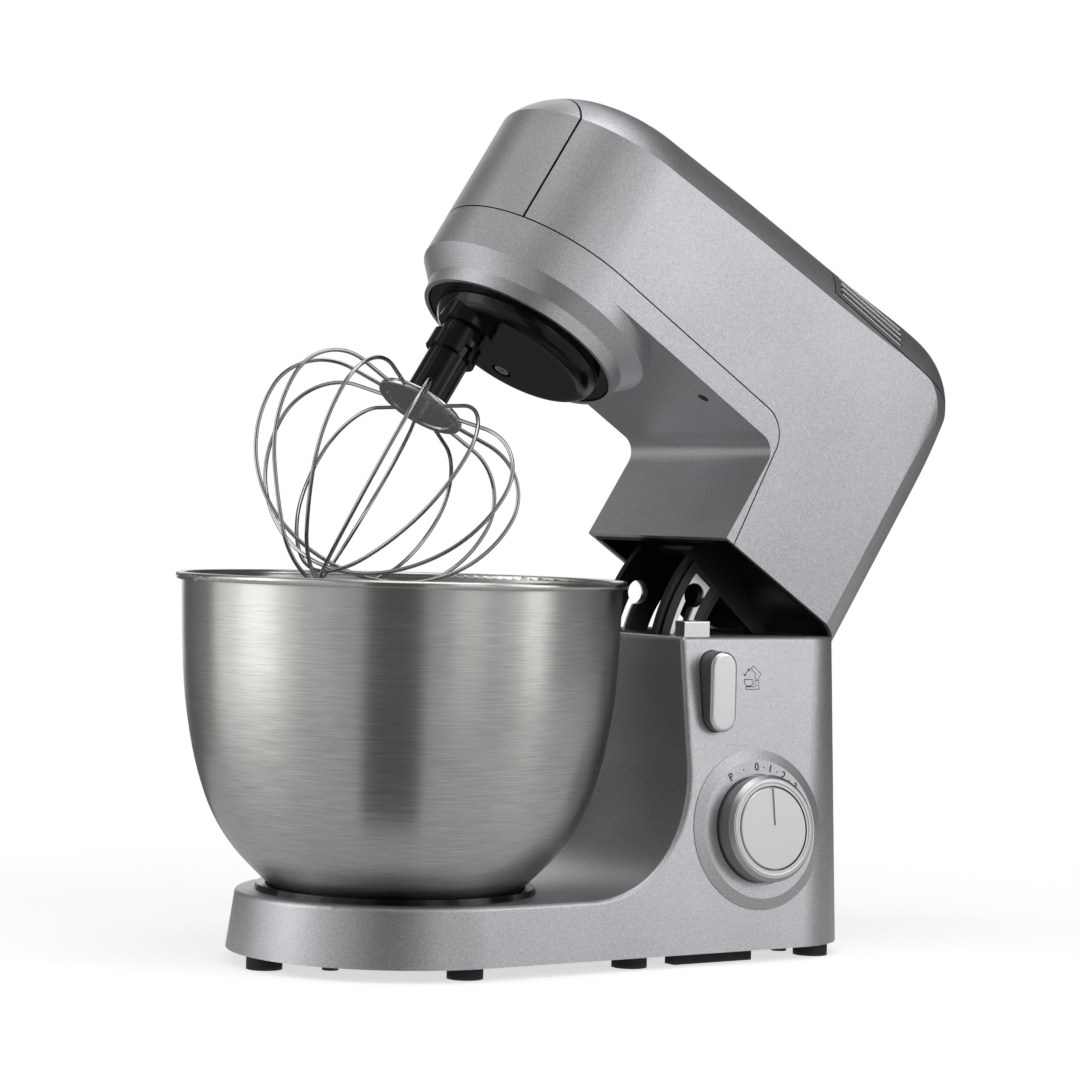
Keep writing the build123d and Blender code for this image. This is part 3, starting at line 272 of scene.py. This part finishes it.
bowlLook = {"streakLength": 6.0, "streakFine": 2600, "streakShare": 0.7, "cloudScale": 9, "cloudShare": 0.3,
            "from": 0.3, "to": 0.7, "dark": (0.48, 0.468, 0.452), "light": (0.74, 0.725, 0.70), "rough": 0.31,
            "roughSpread": 0.14, "anisotropic": 0.82, "turn": 0.25, "bump": 0.05, "beadZ": 0.1887,
            "beadLow": 0.0006, "beadHigh": 0.0004, "beadPolish": 0.2, "calmLow": 0.012, "calmHigh": 0.003,
            "detail": 4, "grit": 0.6, "middle": 0.5}


def brushedBowl(name, settings):
    made, tree, skin = freshMaterial(name)
    here = place(tree, (bowlAxis.x, bowlAxis.y, 0))
    x, y, z = parts(tree, here)
    bead = settings["beadZ"]
    along = add(tree, "CombineXYZ")
    join(tree, both(tree, calc(tree, "ARCTAN2", y, x), settings["streakLength"]), along.inputs[0])
    join(tree, both(tree, z, settings["streakFine"]), along.inputs[1])
    join(tree, both(tree, distance(tree, x, y), settings["streakFine"]), along.inputs[2])
    calm = less(tree, 1.0, ramp(tree, z, bead - settings["calmLow"], bead - settings["calmHigh"]))
    streak = noise(tree, along.outputs[0], 1.0, settings["detail"], settings["grit"])
    streak = both(tree, less(tree, streak, settings["middle"]), calm)
    streak = total(tree, streak, settings["middle"])       # brushed round, smooth at the bead
    cloud = noise(tree, here, settings["cloudScale"])
    tone = total(tree, both(tree, streak, settings["streakShare"]), both(tree, cloud, settings["cloudShare"]))
    tone = ramp(tree, tone, settings["from"], settings["to"])
    join(tree, mixColour(tree, tone, settings["dark"], settings["light"]), skin.inputs["Base Color"])
    rim = ramp(tree, z, bead - settings["beadLow"], bead + settings["beadHigh"])
    spread = settings["roughSpread"]
    rough = total(tree, both(tree, streak, spread), settings["rough"] - spread / 2)
    polish = less(tree, 1.0, both(tree, rim, settings["beadPolish"]))       # the bead is smoother
    join(tree, both(tree, rough, polish), skin.inputs["Roughness"])
    skin.inputs["Metallic"].default_value = 1.0
    skin.inputs["Anisotropic"].default_value = settings["anisotropic"]
    skin.inputs["Anisotropic Rotation"].default_value = settings["turn"]
    bump(tree, streak, skin, settings["bump"])
    return made


# the knob's side is darker than its top ring: partly its own darker finish, partly painted shade
knobLook = {"spot": dialSpot, "out": dialOut, "ringFrom": 0.0105, "fade": 0.0003, "metal": 1.0, "grain": 1200,
            "sideShadeDark": (0.37, 0.37, 0.38), "sideShadeLight": (0.45, 0.45, 0.46), "ring": (0.5, 0.505, 0.515),
            "sideRough": 0.42, "ringRough": 0.36}
# the button's side is painted dark as shade and its face painted pale as a highlight
buttonLook = {"spot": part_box("release_button")[0], "out": (0, -1, 0), "ringFrom": -0.0017, "fade": 0.0005,
              "metal": 0.9, "grain": 1200, "sideShadeDark": (0.2, 0.202, 0.21), "sideShadeLight": (0.25, 0.252, 0.26),
              "ring": (0.8, 0.805, 0.82), "sideRough": 0.42, "ringRough": 0.3}


def shadedSideFinish(name, settings):
    made, tree, skin = freshMaterial(name)
    spot = place(tree, tuple(settings["spot"]))
    height = add(tree, "VectorMath", operation="DOT_PRODUCT")
    height.inputs[1].default_value = tuple(settings["out"])
    join(tree, spot, height.inputs[0])
    cap = ramp(tree, height.outputs["Value"], settings["ringFrom"], settings["ringFrom"] + settings["fade"])
    fine = noise(tree, spot, settings["grain"])
    # the side is painted darker than the cap: painted shade on the button, partly painted shade on the knob
    side = mixColour(tree, fine, settings["sideShadeDark"], settings["sideShadeLight"])
    join(tree, mixColour(tree, cap, side, settings["ring"]), skin.inputs["Base Color"])
    smoother = settings["sideRough"] - settings["ringRough"]
    join(tree, less(tree, settings["sideRough"], both(tree, cap, smoother)), skin.inputs["Roughness"])
    skin.inputs["Metallic"].default_value = settings["metal"]
    return made


dialFaceLook = {"turned": 9000, "dark": (0.65, 0.655, 0.665), "light": (0.71, 0.715, 0.725), "rough": 0.42,
                "metal": 0.8}


def faceFinish(name, settings):
    made, tree, skin = freshMaterial(name)
    x, y, z = parts(tree, place(tree, tuple(dialSpot)))
    ringed = calc(tree, "SINE", both(tree, distance(tree, x, z), settings["turned"]))       # turning marks
    join(tree, mixColour(tree, ramp(tree, ringed, -1, 1), settings["dark"], settings["light"]),
         skin.inputs["Base Color"])
    skin.inputs["Roughness"].default_value = settings["rough"]
    skin.inputs["Metallic"].default_value = settings["metal"]
    return made


plateLook = {"inner": 0.0712, "outer": 0.0828, "edge": 0.0003, "topTurn": 140.5, "grain": 900,
             "dark": (0.62, 0.61, 0.59), "light": (0.74, 0.73, 0.71), "black": (0.01, 0.01, 0.011),
             "blackRough": 0.4, "smoother": 0.1}


def arcPlate(name, settings):
    made, tree, skin = freshMaterial(name)
    spot = place(tree, tuple(hinge))
    x, y, z = parts(tree, spot)
    reach = distance(tree, x, z)
    edge = settings["edge"]
    band = less(tree, ramp(tree, reach, settings["inner"] - edge, settings["inner"]),
                ramp(tree, reach, settings["outer"], settings["outer"] + edge))
    turn = calc(tree, "ARCTAN2", z, x)
    top = both(tree, past(tree, turn, 0.0), short(tree, turn, math.radians(settings["topTurn"])))
    bare = both(tree, band, less(tree, 1.0, top))       # bare metal arc, black around it
    fine = noise(tree, spot, settings["grain"], fineDetail)
    steel = mixColour(tree, fine, settings["dark"], settings["light"])
    join(tree, mixColour(tree, bare, settings["black"], steel), skin.inputs["Base Color"])
    join(tree, bare, skin.inputs["Metallic"])
    rough = less(tree, settings["blackRough"], both(tree, bare, settings["smoother"]))
    join(tree, rough, skin.inputs["Roughness"])
    return made


bodyPaint = {"low": (0.415, 0.42, 0.437), "high": (0.63, 0.637, 0.655), "rough": 0.4, "metal": 0.88}
# the vent cover is the same silver as the body, painted darker as shade on its top-facing surfaces
ventShadedPaint = {"low": (0.32, 0.325, 0.345), "high": (0.46, 0.465, 0.49), "rough": 0.42, "metal": 0.88}
# the fins are painted near white: a painted highlight for the bright lines across the vent
finGlintPaint = {"low": (0.84, 0.845, 0.86), "high": (0.92, 0.925, 0.94), "rough": 0.4, "metal": 0.2}

finishes = {
    "silver": silverPaint("silver_flake_paint", **bodyPaint),
    "headGapShadedSilver": silverPaint("head_flake_and_gap_shade", **bodyPaint, gapShade=headGapShade),
    "ventShadedSilver": silverPaint("vent_cover_painted_shade", **ventShadedPaint, gapShade=headGapShade),
    "finGlintSilver": silverPaint("fin_highlight_paint", **finGlintPaint),
    "blackGloss": plastic("dish_gloss_black", (0.006, 0.006, 0.007), 0.14, 400, 0.02, 0.3),
    "blackSatin": plastic("satin_black_plastic", (0.009, 0.009, 0.01), 0.34, gloss=0.3),
    "blackMatt": plastic("matt_black_plastic", (0.014, 0.014, 0.015), 0.5),
    "rubber": plastic("foot_rubber", (0.016, 0.016, 0.017), 0.7, 1500, 0.2),
    "board": plastic("circuit_board_green", (0.02, 0.12, 0.05), 0.45),
    "bowlSteel": brushedBowl("brushed_bowl_steel", bowlLook),
    "wireSteel": metalFinish("polished_wire_steel", (0.46, 0.46, 0.455), 0.14, 500, 0.06),
    "discSteel": metalFinish("polished_disc_steel", (0.6, 0.6, 0.595), 0.16, 500, 0.06),
    "ringSteel": metalFinish("satin_knob_ring", (0.62, 0.625, 0.635), 0.36),
    "brightSteel": metalFinish("bright_plate_steel", (0.72, 0.72, 0.72), 0.22),
    "machinedSteel": metalFinish("machined_steel", (0.52, 0.52, 0.53), 0.35),
    "castAlloy": metalFinish("cast_alloy", (0.5, 0.51, 0.52), 0.5, 300, 0.2),
    "bronze": metalFinish("sintered_bronze", (0.5, 0.32, 0.14), 0.45),
    "knob": shadedSideFinish("knob_shaded_side_and_ring", knobLook),
    "button": shadedSideFinish("button_shaded_side_lit_face", buttonLook),
    "darkSteel": metalFinish("blackened_screw_steel", (0.05, 0.05, 0.052), 0.4),
    "dialFace": faceFinish("turned_dial_face", dialFaceLook),
    "arcSteel": arcPlate("bare_arc_on_black", plateLook),
    "ink": plastic("printed_dark_ink", (0.03, 0.03, 0.033), 0.5, 1500, 0.02),
}
print("finishes made:", len(finishes))

finishOf = {
    "silver": ["base_housing", "dial_bezel"],
    "headGapShadedSilver": ["head_upper_shell", "head_lower_shell", "front_cap"],
    "ventShadedSilver": ["rear_vent_cover"],
    "button": ["release_button"],
    "darkSteel": ["base_screws"],
    "blackGloss": ["planet_cover", "bowl_seat", "whisk_stem"],
    "blackSatin": ["lock_arms", "arm_spacer", "neck_liner"],
    "blackMatt": ["base_plate", "column_cap", "speed_switch", "cord_gland", "idler_pulley", "cooling_fan"],
    "rubber": ["rubber_feet", "side_pads", "drive_belt"],
    "board": ["control_board"],
    "bowlSteel": ["bowl", "bowl_foot"],
    "wireSteel": ["whisk_wires", "whisk_disc"],
    "brightSteel": ["locating_tab", "lock_pin", "dish_screw"],
    "arcSteel": ["keyhole_plates"],
    "machinedSteel": ["hinge_frame", "hinge_pin", "dial_shaft", "arm_screws", "ring_gear",
                      "ring_gear_screws", "bearings", "motor_stator", "main_shaft", "main_gear",
                      "output_shaft", "planet_gear", "idler_shaft", "idler_pinion", "motor_pulley",
                      "motor_shaft", "armature"],
    "castAlloy": ["head_frame", "motor_bracket"],
    "bronze": ["hinge_bushings"],
    "knob": ["dial_knob"],
    "dialFace": ["dial_face"],
}
for finish, names in finishOf.items():
    for name in names:
        mesh = nodes[name].data
        mesh.materials.clear()
        mesh.materials.append(finishes[finish])
print("nodes painted:", sum(len(names) for names in finishOf.values()))


def clearChoice():
    if bpy.context.object and bpy.context.object.mode != "OBJECT":
        bpy.ops.object.mode_set(mode="OBJECT")
    bpy.ops.object.select_all(action="DESELECT")


def settle(piece, name, finish, body):
    piece.name = name
    piece.data.name = name
    piece.data.materials.clear()
    piece.data.materials.append(finishes[finish])
    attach(piece, body)
    clearChoice()


def joinPieces(pieces):
    clearChoice()
    for piece in pieces:
        piece.select_set(True)
    bpy.context.view_layer.objects.active = pieces[0]
    bpy.ops.object.join()
    return bpy.context.object


panelUp = Vector((0, dialOut.z, -dialOut.y))
panelTurn = Matrix((Vector((1, 0, 0)), panelUp, dialOut)).transposed().to_4x4()
panelPlace = Matrix.Translation(dialSpot) @ panelTurn      # x right, y up the wall, z out of it

dialMarks = {"words": {-32: "P", 0: "0", 16: "1", 32: "2", 48: "3", 64: "4", 80: "5", 96: "6"},
             "dots": [-16, 8, 24, 40, 56, 72, 88], "reach": 0.0317, "size": 0.0056, "bold": 0.00011,
             "dotRadius": 0.00042, "dotSides": 16, "height": 0.0022, "thick": 0.00006, "curveSteps": 4}


def makeDialMarks(settings):
    made = []
    for turn, word in settings["words"].items():
        clearChoice()
        bpy.ops.object.text_add(location=(0, 0, 0))
        mark = bpy.context.object
        mark.data.body = word
        mark.data.align_x = "CENTER"
        mark.data.align_y = "CENTER"
        mark.data.size = settings["size"]
        mark.data.extrude = settings["thick"]
        mark.data.offset = settings["bold"]
        mark.data.resolution_u = settings["curveSteps"]
        bpy.ops.object.convert(target="MESH")
        made.append((math.radians(turn), bpy.context.object))
    for turn in settings["dots"]:
        clearChoice()
        bpy.ops.mesh.primitive_circle_add(radius=settings["dotRadius"], vertices=settings["dotSides"],
                                          fill_type="NGON")
        bpy.ops.object.mode_set(mode="EDIT")
        bpy.ops.mesh.extrude_region_move(TRANSFORM_OT_translate={"value": (0, 0, settings["thick"])})
        bpy.ops.mesh.select_all(action="SELECT")
        bpy.ops.mesh.normals_make_consistent(inside=False)
        bpy.ops.object.mode_set(mode="OBJECT")
        made.append((math.radians(turn), bpy.context.object))
    for turn, mark in made:
        spot = (settings["reach"] * math.sin(turn), settings["reach"] * math.cos(turn), settings["height"])
        mark.data.transform(panelPlace @ Matrix.Translation(spot) @ Matrix.Rotation(-turn, 4, "Z"))
    settle(joinPieces([mark for turn, mark in made]), "dial_marks", "ink", "base")


tiltSign = {"right": 0.0022, "up": 0.0777, "line": 0.00024, "flat": 0.35, "mm": 0.001, "roundSteps": 2,
            "strokes": [
                [(-0.3, 4.7), (1.3, 6.1), (6.0, 1.8), (3.4, -1.3), (1.6, 0.2), (2.7, 1.6), (-0.3, 4.7)],
                [(-5.3, -1.0), (-5.0, -3.2), (-3.4, -4.3), (-1.4, -4.3), (0.2, -3.2), (0.5, -1.0),
                 (-5.3, -1.0)],
                [(-4.6, -4.7), (-4.6, -6.0), (4.0, -6.0), (4.0, -1.5), (1.9, -1.5), (1.5, -4.7),
                 (-4.6, -4.7)],
                [(-5.2, 1.0), (-1.2, 4.6)], [(-5.3, 2.5), (-5.2, 1.0), (-3.8, 1.2)],
                [(-2.7, 4.4), (-1.2, 4.6), (-1.2, 3.1)], [(2.5, -4.1), (2.9, -4.1)]]}


def makeTiltSign(settings):
    made = []
    for stroke in settings["strokes"]:
        clearChoice()
        bpy.ops.curve.primitive_nurbs_path_add(location=(0, 0, 0))
        line = bpy.context.object
        line.data.splines.clear()
        path = line.data.splines.new("POLY")
        path.points.add(len(stroke) - 1)
        for point, (x, y) in zip(path.points, stroke):
            point.co = (x * settings["mm"], y * settings["mm"], 0, 1)
        line.data.bevel_depth = settings["line"]
        line.data.bevel_resolution = settings["roundSteps"]
        line.data.use_fill_caps = True
        bpy.ops.object.convert(target="MESH")
        made.append(bpy.context.object)
    sign = joinPieces(made)
    flat = Matrix.Diagonal((1, 1, settings["flat"], 1))
    sign.data.transform(panelPlace @ Matrix.Translation((settings["right"], settings["up"], 0)) @ flat)
    settle(sign, "tilt_sign", "ink", "base")


ventFins = {"from": 0.1224, "to": 0.1692, "first": 0.31480, "pitch": 0.0036, "count": 4, "thick": 0.0007,
            "deep": 0.0022, "under": 0.0007, "land": 0.0009, "edge": 0.0002, "edgeSteps": 2,
            "rayFrom": 0.2}


def makeVentFins(settings):
    cover = nodes["rear_vent_cover"]
    bpy.context.view_layer.update()
    made = []
    for side in (-1, 1):
        for i in range(settings["count"]):
            z = settings["first"] + i * settings["pitch"]
            reach = []
            for x in (settings["from"], settings["to"]):
                start = headLift @ Vector((bowlAxis.x + x, side * settings["rayFrom"], z - settings["land"]))
                spot = cover.ray_cast(start, Vector((0, -side, 0)))[1]       # where the cover's side is
                reach.append(abs(spot.y) - settings["under"])
            clearChoice()
            bpy.ops.mesh.primitive_cube_add(size=1)
            fin = bpy.context.object
            for corner in fin.data.vertices:
                end = corner.co.x > 0
                x = settings["to"] if end else settings["from"]
                y = reach[end] - (0 if corner.co.y > 0 else settings["deep"])
                corner.co = headLift @ Vector((bowlAxis.x + x, side * y,
                                               z + (settings["thick"] if corner.co.z > 0 else 0)))
            bpy.ops.object.mode_set(mode="EDIT")
            bpy.ops.mesh.select_all(action="SELECT")
            bpy.ops.mesh.normals_make_consistent(inside=False)
            bpy.ops.mesh.bevel(offset=settings["edge"], segments=settings["edgeSteps"], affect="EDGES")
            bpy.ops.object.mode_set(mode="OBJECT")
            made.append(fin)
    # near-white painted highlight on the fins
    settle(joinPieces(made), "vent_fins", "finGlintSilver", "head")


knobRing = {"outer": 0.0246, "inner": 0.0229, "height": 0.01297, "thick": 0.0003, "sides": 96,
            "softShare": 1 / 3, "softSteps": 2, "smoothBelow": 30}


def makeKnobRing(settings):
    clearChoice()
    bpy.ops.mesh.primitive_circle_add(vertices=settings["sides"], radius=settings["outer"])
    ring = bpy.context.object
    bpy.ops.object.mode_set(mode="EDIT")
    bpy.ops.mesh.select_all(action="SELECT")
    share = settings["inner"] / settings["outer"]
    bpy.ops.mesh.extrude_edges_move()
    bpy.ops.transform.resize(value=(share, share, 1))
    bpy.ops.mesh.select_all(action="SELECT")
    bpy.ops.mesh.normals_make_consistent(inside=False)
    bpy.ops.mesh.extrude_region_move(TRANSFORM_OT_translate={"value": (0, 0, settings["thick"])})
    bpy.ops.mesh.select_all(action="SELECT")
    bpy.ops.mesh.normals_make_consistent(inside=False)
    bpy.ops.object.mode_set(mode="OBJECT")
    soften = ring.modifiers.new("softEdge", "BEVEL")
    soften.width = settings["thick"] * settings["softShare"]
    soften.segments = settings["softSteps"]
    bpy.ops.object.modifier_apply(modifier="softEdge")
    bpy.ops.object.shade_smooth_by_angle(angle=math.radians(settings["smoothBelow"]))
    ring.data.transform(panelPlace @ Matrix.Translation((0, 0, settings["height"])))
    settle(ring, "knob_ring", "ringSteel", "dial")


whiskDisc = {"radius": 0.0232, "thick": 0.0032, "rimRound": 0.0011, "hub": 0.0150, "hubRise": 0.0004,
             "dish": 0.0185, "dishDeep": 0.0007, "sides": 72, "rimSteps": 4, "bevelAbove": 60,
             "smoothBelow": 35, "capCorners": 8, "capFacing": 0.9}


def chooseCap(mesh, side, settings):
    for face in mesh.polygons:
        wide = len(face.vertices) > settings["capCorners"]
        face.select = wide and face.normal.z * side > settings["capFacing"]


def makeWhiskDisc(settings):
    low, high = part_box("whisk_disc")
    clearChoice()
    bpy.ops.mesh.primitive_cylinder_add(vertices=settings["sides"], radius=settings["radius"],
                                        depth=settings["thick"])
    disc = bpy.context.object
    # a raised hub above, a shallow dish below
    for side, ring, step in ((1, "hub", "hubRise"), (-1, "dish", "dishDeep")):
        chooseCap(disc.data, side, settings)
        bpy.ops.object.mode_set(mode="EDIT")
        bpy.ops.mesh.select_mode(type="FACE")
        bpy.ops.mesh.inset(thickness=settings["radius"] - settings[ring], depth=0)
        bpy.ops.mesh.inset(thickness=settings[step], depth=0)
        bpy.ops.transform.translate(value=(0, 0, settings[step]))
        bpy.ops.mesh.select_all(action="DESELECT")
        bpy.ops.object.mode_set(mode="OBJECT")
    soften = disc.modifiers.new("rimRound", "BEVEL")
    soften.width = settings["rimRound"]
    soften.segments = settings["rimSteps"]
    soften.limit_method = "ANGLE"
    soften.angle_limit = math.radians(settings["bevelAbove"])
    bpy.ops.object.modifier_apply(modifier="rimRound")
    bpy.ops.object.shade_smooth_by_angle(angle=math.radians(settings["smoothBelow"]))
    lift = Matrix.Rotation(headTilt, 4, "Y")
    disc.data.transform(Matrix.Translation((low + high) / 2) @ lift)
    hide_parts("whisk_disc")
    settle(disc, "whisk_disc_turned", "discSteel", "whisk")


makeKnobRing(knobRing)
makeWhiskDisc(whiskDisc)
makeDialMarks(dialMarks)
makeTiltSign(tiltSign)
makeVentFins(ventFins)
print("small pieces made")

studio = {
    "floorSize": 12.0, "floorColour": 0.9, "floorRough": 0.8, "floorGlow": 0.62, "fadeFrom": 0.26,
    "fadeTo": 0.6, "worldLight": 0.14,
    "lamps": [
        {"name": "rightSoftBox", "place": (1.2, -1.6, 0.95), "aim": (0.05, 0, 0.22), "size": (1.1, 1.5),
         "power": 7.0},
        {"name": "leftSoftBox", "place": (-1.75, 0.62, 0.85), "aim": (-0.1, 0, 0.2), "size": (0.8, 1.5),
         "power": 4.8},
        {"name": "topSoftBox", "place": (-0.1, -0.4, 2.1), "aim": (0, 0, 0.2), "size": (1.4, 1.2),
         "power": 8},
    ],
    # bearing in degrees right of the camera, seen from the bowl; tone is how light a card looks in the metal
    "cards": [
        {"name": "cardBehindCamera", "bearing": -1, "away": 2.7, "size": (1.35, 2.6), "tone": 0.02},
        {"name": "cardFrontLeft", "bearing": -24, "away": 2.6, "size": (0.8, 2.6), "tone": 0.32},
        {"name": "cardFarLeft", "bearing": -42, "away": 2.6, "size": (0.9, 2.6), "tone": 0.6},
        {"name": "cardFrontRight", "bearing": 21, "away": 2.6, "size": (0.75, 2.6), "tone": 0.25},
        {"name": "cardFarRight", "bearing": 38, "away": 2.6, "size": (0.85, 2.6), "tone": 0.95},
        {"name": "cardRight", "bearing": 57, "away": 2.2, "size": (0.85, 2.4), "tone": 0.4, "ghost": True},
        {"name": "cardRearRight", "bearing": 129, "away": 1.7, "size": (3.8, 2.6), "tone": 0.06},
        {"name": "cardRearLeft", "bearing": -132, "away": 1.9, "size": (1.6, 2.6), "tone": 0.12},
    ],
    "mats": [
        {"name": "matRoof", "bearing": -8, "away": 1.7, "size": (2.6, 2.2), "tone": 0.2, "height": 2.5},
        {"name": "matRoofLeft", "bearing": -118, "away": 1.07, "size": (2.6, 1.3), "tone": 0.22,
         "height": 2.5},
        {"name": "matLeft", "bearing": -78, "away": 1.2, "size": (0.9, 0.9), "tone": 1.3, "height": 0.003},
        # matNearShade is painted shade: a darker sheet seen only in reflections, standing in for the floor's
        # shadow beside the base
        {"name": "matNearShade", "bearing": 0, "away": 0.0, "size": (0.9, 0.9), "tone": 0.41, "height": 0.0015},
        {"name": "matRearRight", "bearing": 137, "away": 1.7, "size": (1.2, 1.2), "tone": 0.1,
         "height": 0.003},
        {"name": "matUnder", "bearing": 0, "away": 0.0, "size": (4.0, 4.0), "tone": 0.5, "height": 0.001},
        {"name": "matFront", "bearing": -1, "away": 1.2, "size": (1.2, 2.1), "tone": 0.07, "height": 0.002,
         "nearShare": 0.06},
        {"name": "matBack", "bearing": -161, "away": 1.2, "size": (1.6, 1.7), "tone": 0.08, "height": 0.002},
    ],
}


def makeFloor(settings):
    bpy.ops.mesh.primitive_plane_add(size=settings["floorSize"], location=(0, 0, 0))
    floor = bpy.context.object
    floor.name = "pale_floor"
    made, tree, skin = freshMaterial("pale_floor_white")
    skin.inputs["Base Color"].default_value = (settings["floorColour"],) * 3 + (1,)
    skin.inputs["Roughness"].default_value = settings["floorRough"]
    apart = add(tree, "VectorMath", operation="LENGTH")
    join(tree, place(tree), apart.inputs[0])
    glow = add(tree, "Emission", Strength=1.0)
    rays = add(tree, "LightPath")
    seen = most(tree, rays.outputs["Is Camera Ray"], rays.outputs["Is Glossy Ray"])
    far = both(tree, ramp(tree, apart.outputs["Value"], settings["fadeFrom"], settings["fadeTo"]), seen)
    skin.inputs["Emission Color"].default_value = (1, 1, 1, 1)       # white floor that keeps the shadow
    join(tree, both(tree, seen, settings["floorGlow"]), skin.inputs["Emission Strength"])
    blended = add(tree, "MixShader")
    join(tree, far, blended.inputs[0])
    join(tree, skin.outputs[0], blended.inputs[1])
    join(tree, glow.outputs[0], blended.inputs[2])
    join(tree, blended.outputs[0], tree.nodes["Material Output"].inputs[0])
    floor.data.materials.append(made)


def makeWorld(settings):
    world = bpy.data.worlds.new("studio")
    bpy.context.scene.world = world
    world.use_nodes = True
    tree = world.node_tree
    back = tree.nodes["Background"]
    back.inputs["Color"].default_value = (1, 1, 1, 1)
    rays = tree.nodes.new("ShaderNodeLightPath")
    seen = most(tree, rays.outputs["Is Camera Ray"], rays.outputs["Is Transmission Ray"])
    seen = most(tree, seen, rays.outputs["Is Glossy Ray"])
    lift = both(tree, seen, 1.0 - settings["worldLight"])
    join(tree, total(tree, lift, settings["worldLight"]), back.inputs["Strength"])


def makeLamp(lamp):
    bpy.ops.object.light_add(type="AREA", location=lamp["place"])
    made = bpy.context.object
    made.name = lamp["name"]
    made.data.shape = "RECTANGLE"
    made.data.size, made.data.size_y = lamp["size"]
    made.data.energy = lamp["power"]
    aim = Vector(lamp["aim"]) - Vector(lamp["place"])
    made.rotation_euler = aim.to_track_quat("-Z", "Y").to_euler()


cardLook = {"zeroBearing": math.atan2(-0.823, -0.568), "foot": 0.02, "colour": 0.02, "rough": 0.9}


def makeCard(card, lying):
    turn = math.radians(card["bearing"]) + cardLook["zeroBearing"]
    high = card["height"] if lying else card["size"][1] / 2 + cardLook["foot"]
    spot = (bowlAxis.x + card["away"] * math.cos(turn), card["away"] * math.sin(turn), high)
    lean = 0 if lying else math.radians(90)
    clearChoice()
    bpy.ops.mesh.primitive_plane_add(size=1, location=spot, rotation=(lean, 0, turn + math.radians(90)))
    board = bpy.context.object
    board.name = card["name"]
    board.scale = (*card["size"], 1)
    for corner in board.data.vertices:
        if corner.co.y > 0:
            corner.co.x *= card.get("nearShare", 1.0)      # a wedge that narrows toward the bowl
    board.visible_camera = False
    solid = not lying and not card.get("ghost", False)
    board.visible_diffuse = solid
    board.visible_shadow = solid
    made, tree, skin = freshMaterial(card["name"] + "_grey")
    skin.inputs["Base Color"].default_value = (cardLook["colour"],) * 3 + (1,)
    skin.inputs["Roughness"].default_value = cardLook["rough"]
    skin.inputs["Emission Color"].default_value = (1, 1, 1, 1)
    skin.inputs["Emission Strength"].default_value = card["tone"]
    board.data.materials.append(made)


# places are measured from the bowl's axis
photoCamera = {"place": (-0.8873, -1.4055, 0.2266), "target": (0.08258, 0, 0.21152), "roll": 1.448,
               "lens": 110.77, "sensor": 36, "clipEnd": 50}


def makeCamera(settings):
    axis = Vector((bowlAxis.x, 0, 0))
    bpy.ops.object.camera_add(location=axis + Vector(settings["place"]))
    camera = bpy.context.object
    target = axis + Vector(settings["target"])
    look = (target - camera.location).to_track_quat("-Z", "Y").to_matrix()
    camera.rotation_euler = (look @ Matrix.Rotation(math.radians(settings["roll"]), 3, "Z")).to_euler()
    camera.data.lens = settings["lens"]
    camera.data.sensor_width = settings["sensor"]
    camera.data.clip_end = settings["clipEnd"]
    bpy.context.scene.camera = camera


clearChoice()
makeFloor(studio)
makeWorld(studio)
for lamp in studio["lamps"]:
    makeLamp(lamp)
for card in studio["cards"]:
    makeCard(card, False)
for mat in studio["mats"]:
    makeCard(mat, True)
makeCamera(photoCamera)
bpy.context.scene.view_settings.view_transform = "Standard"
print("studio ready")
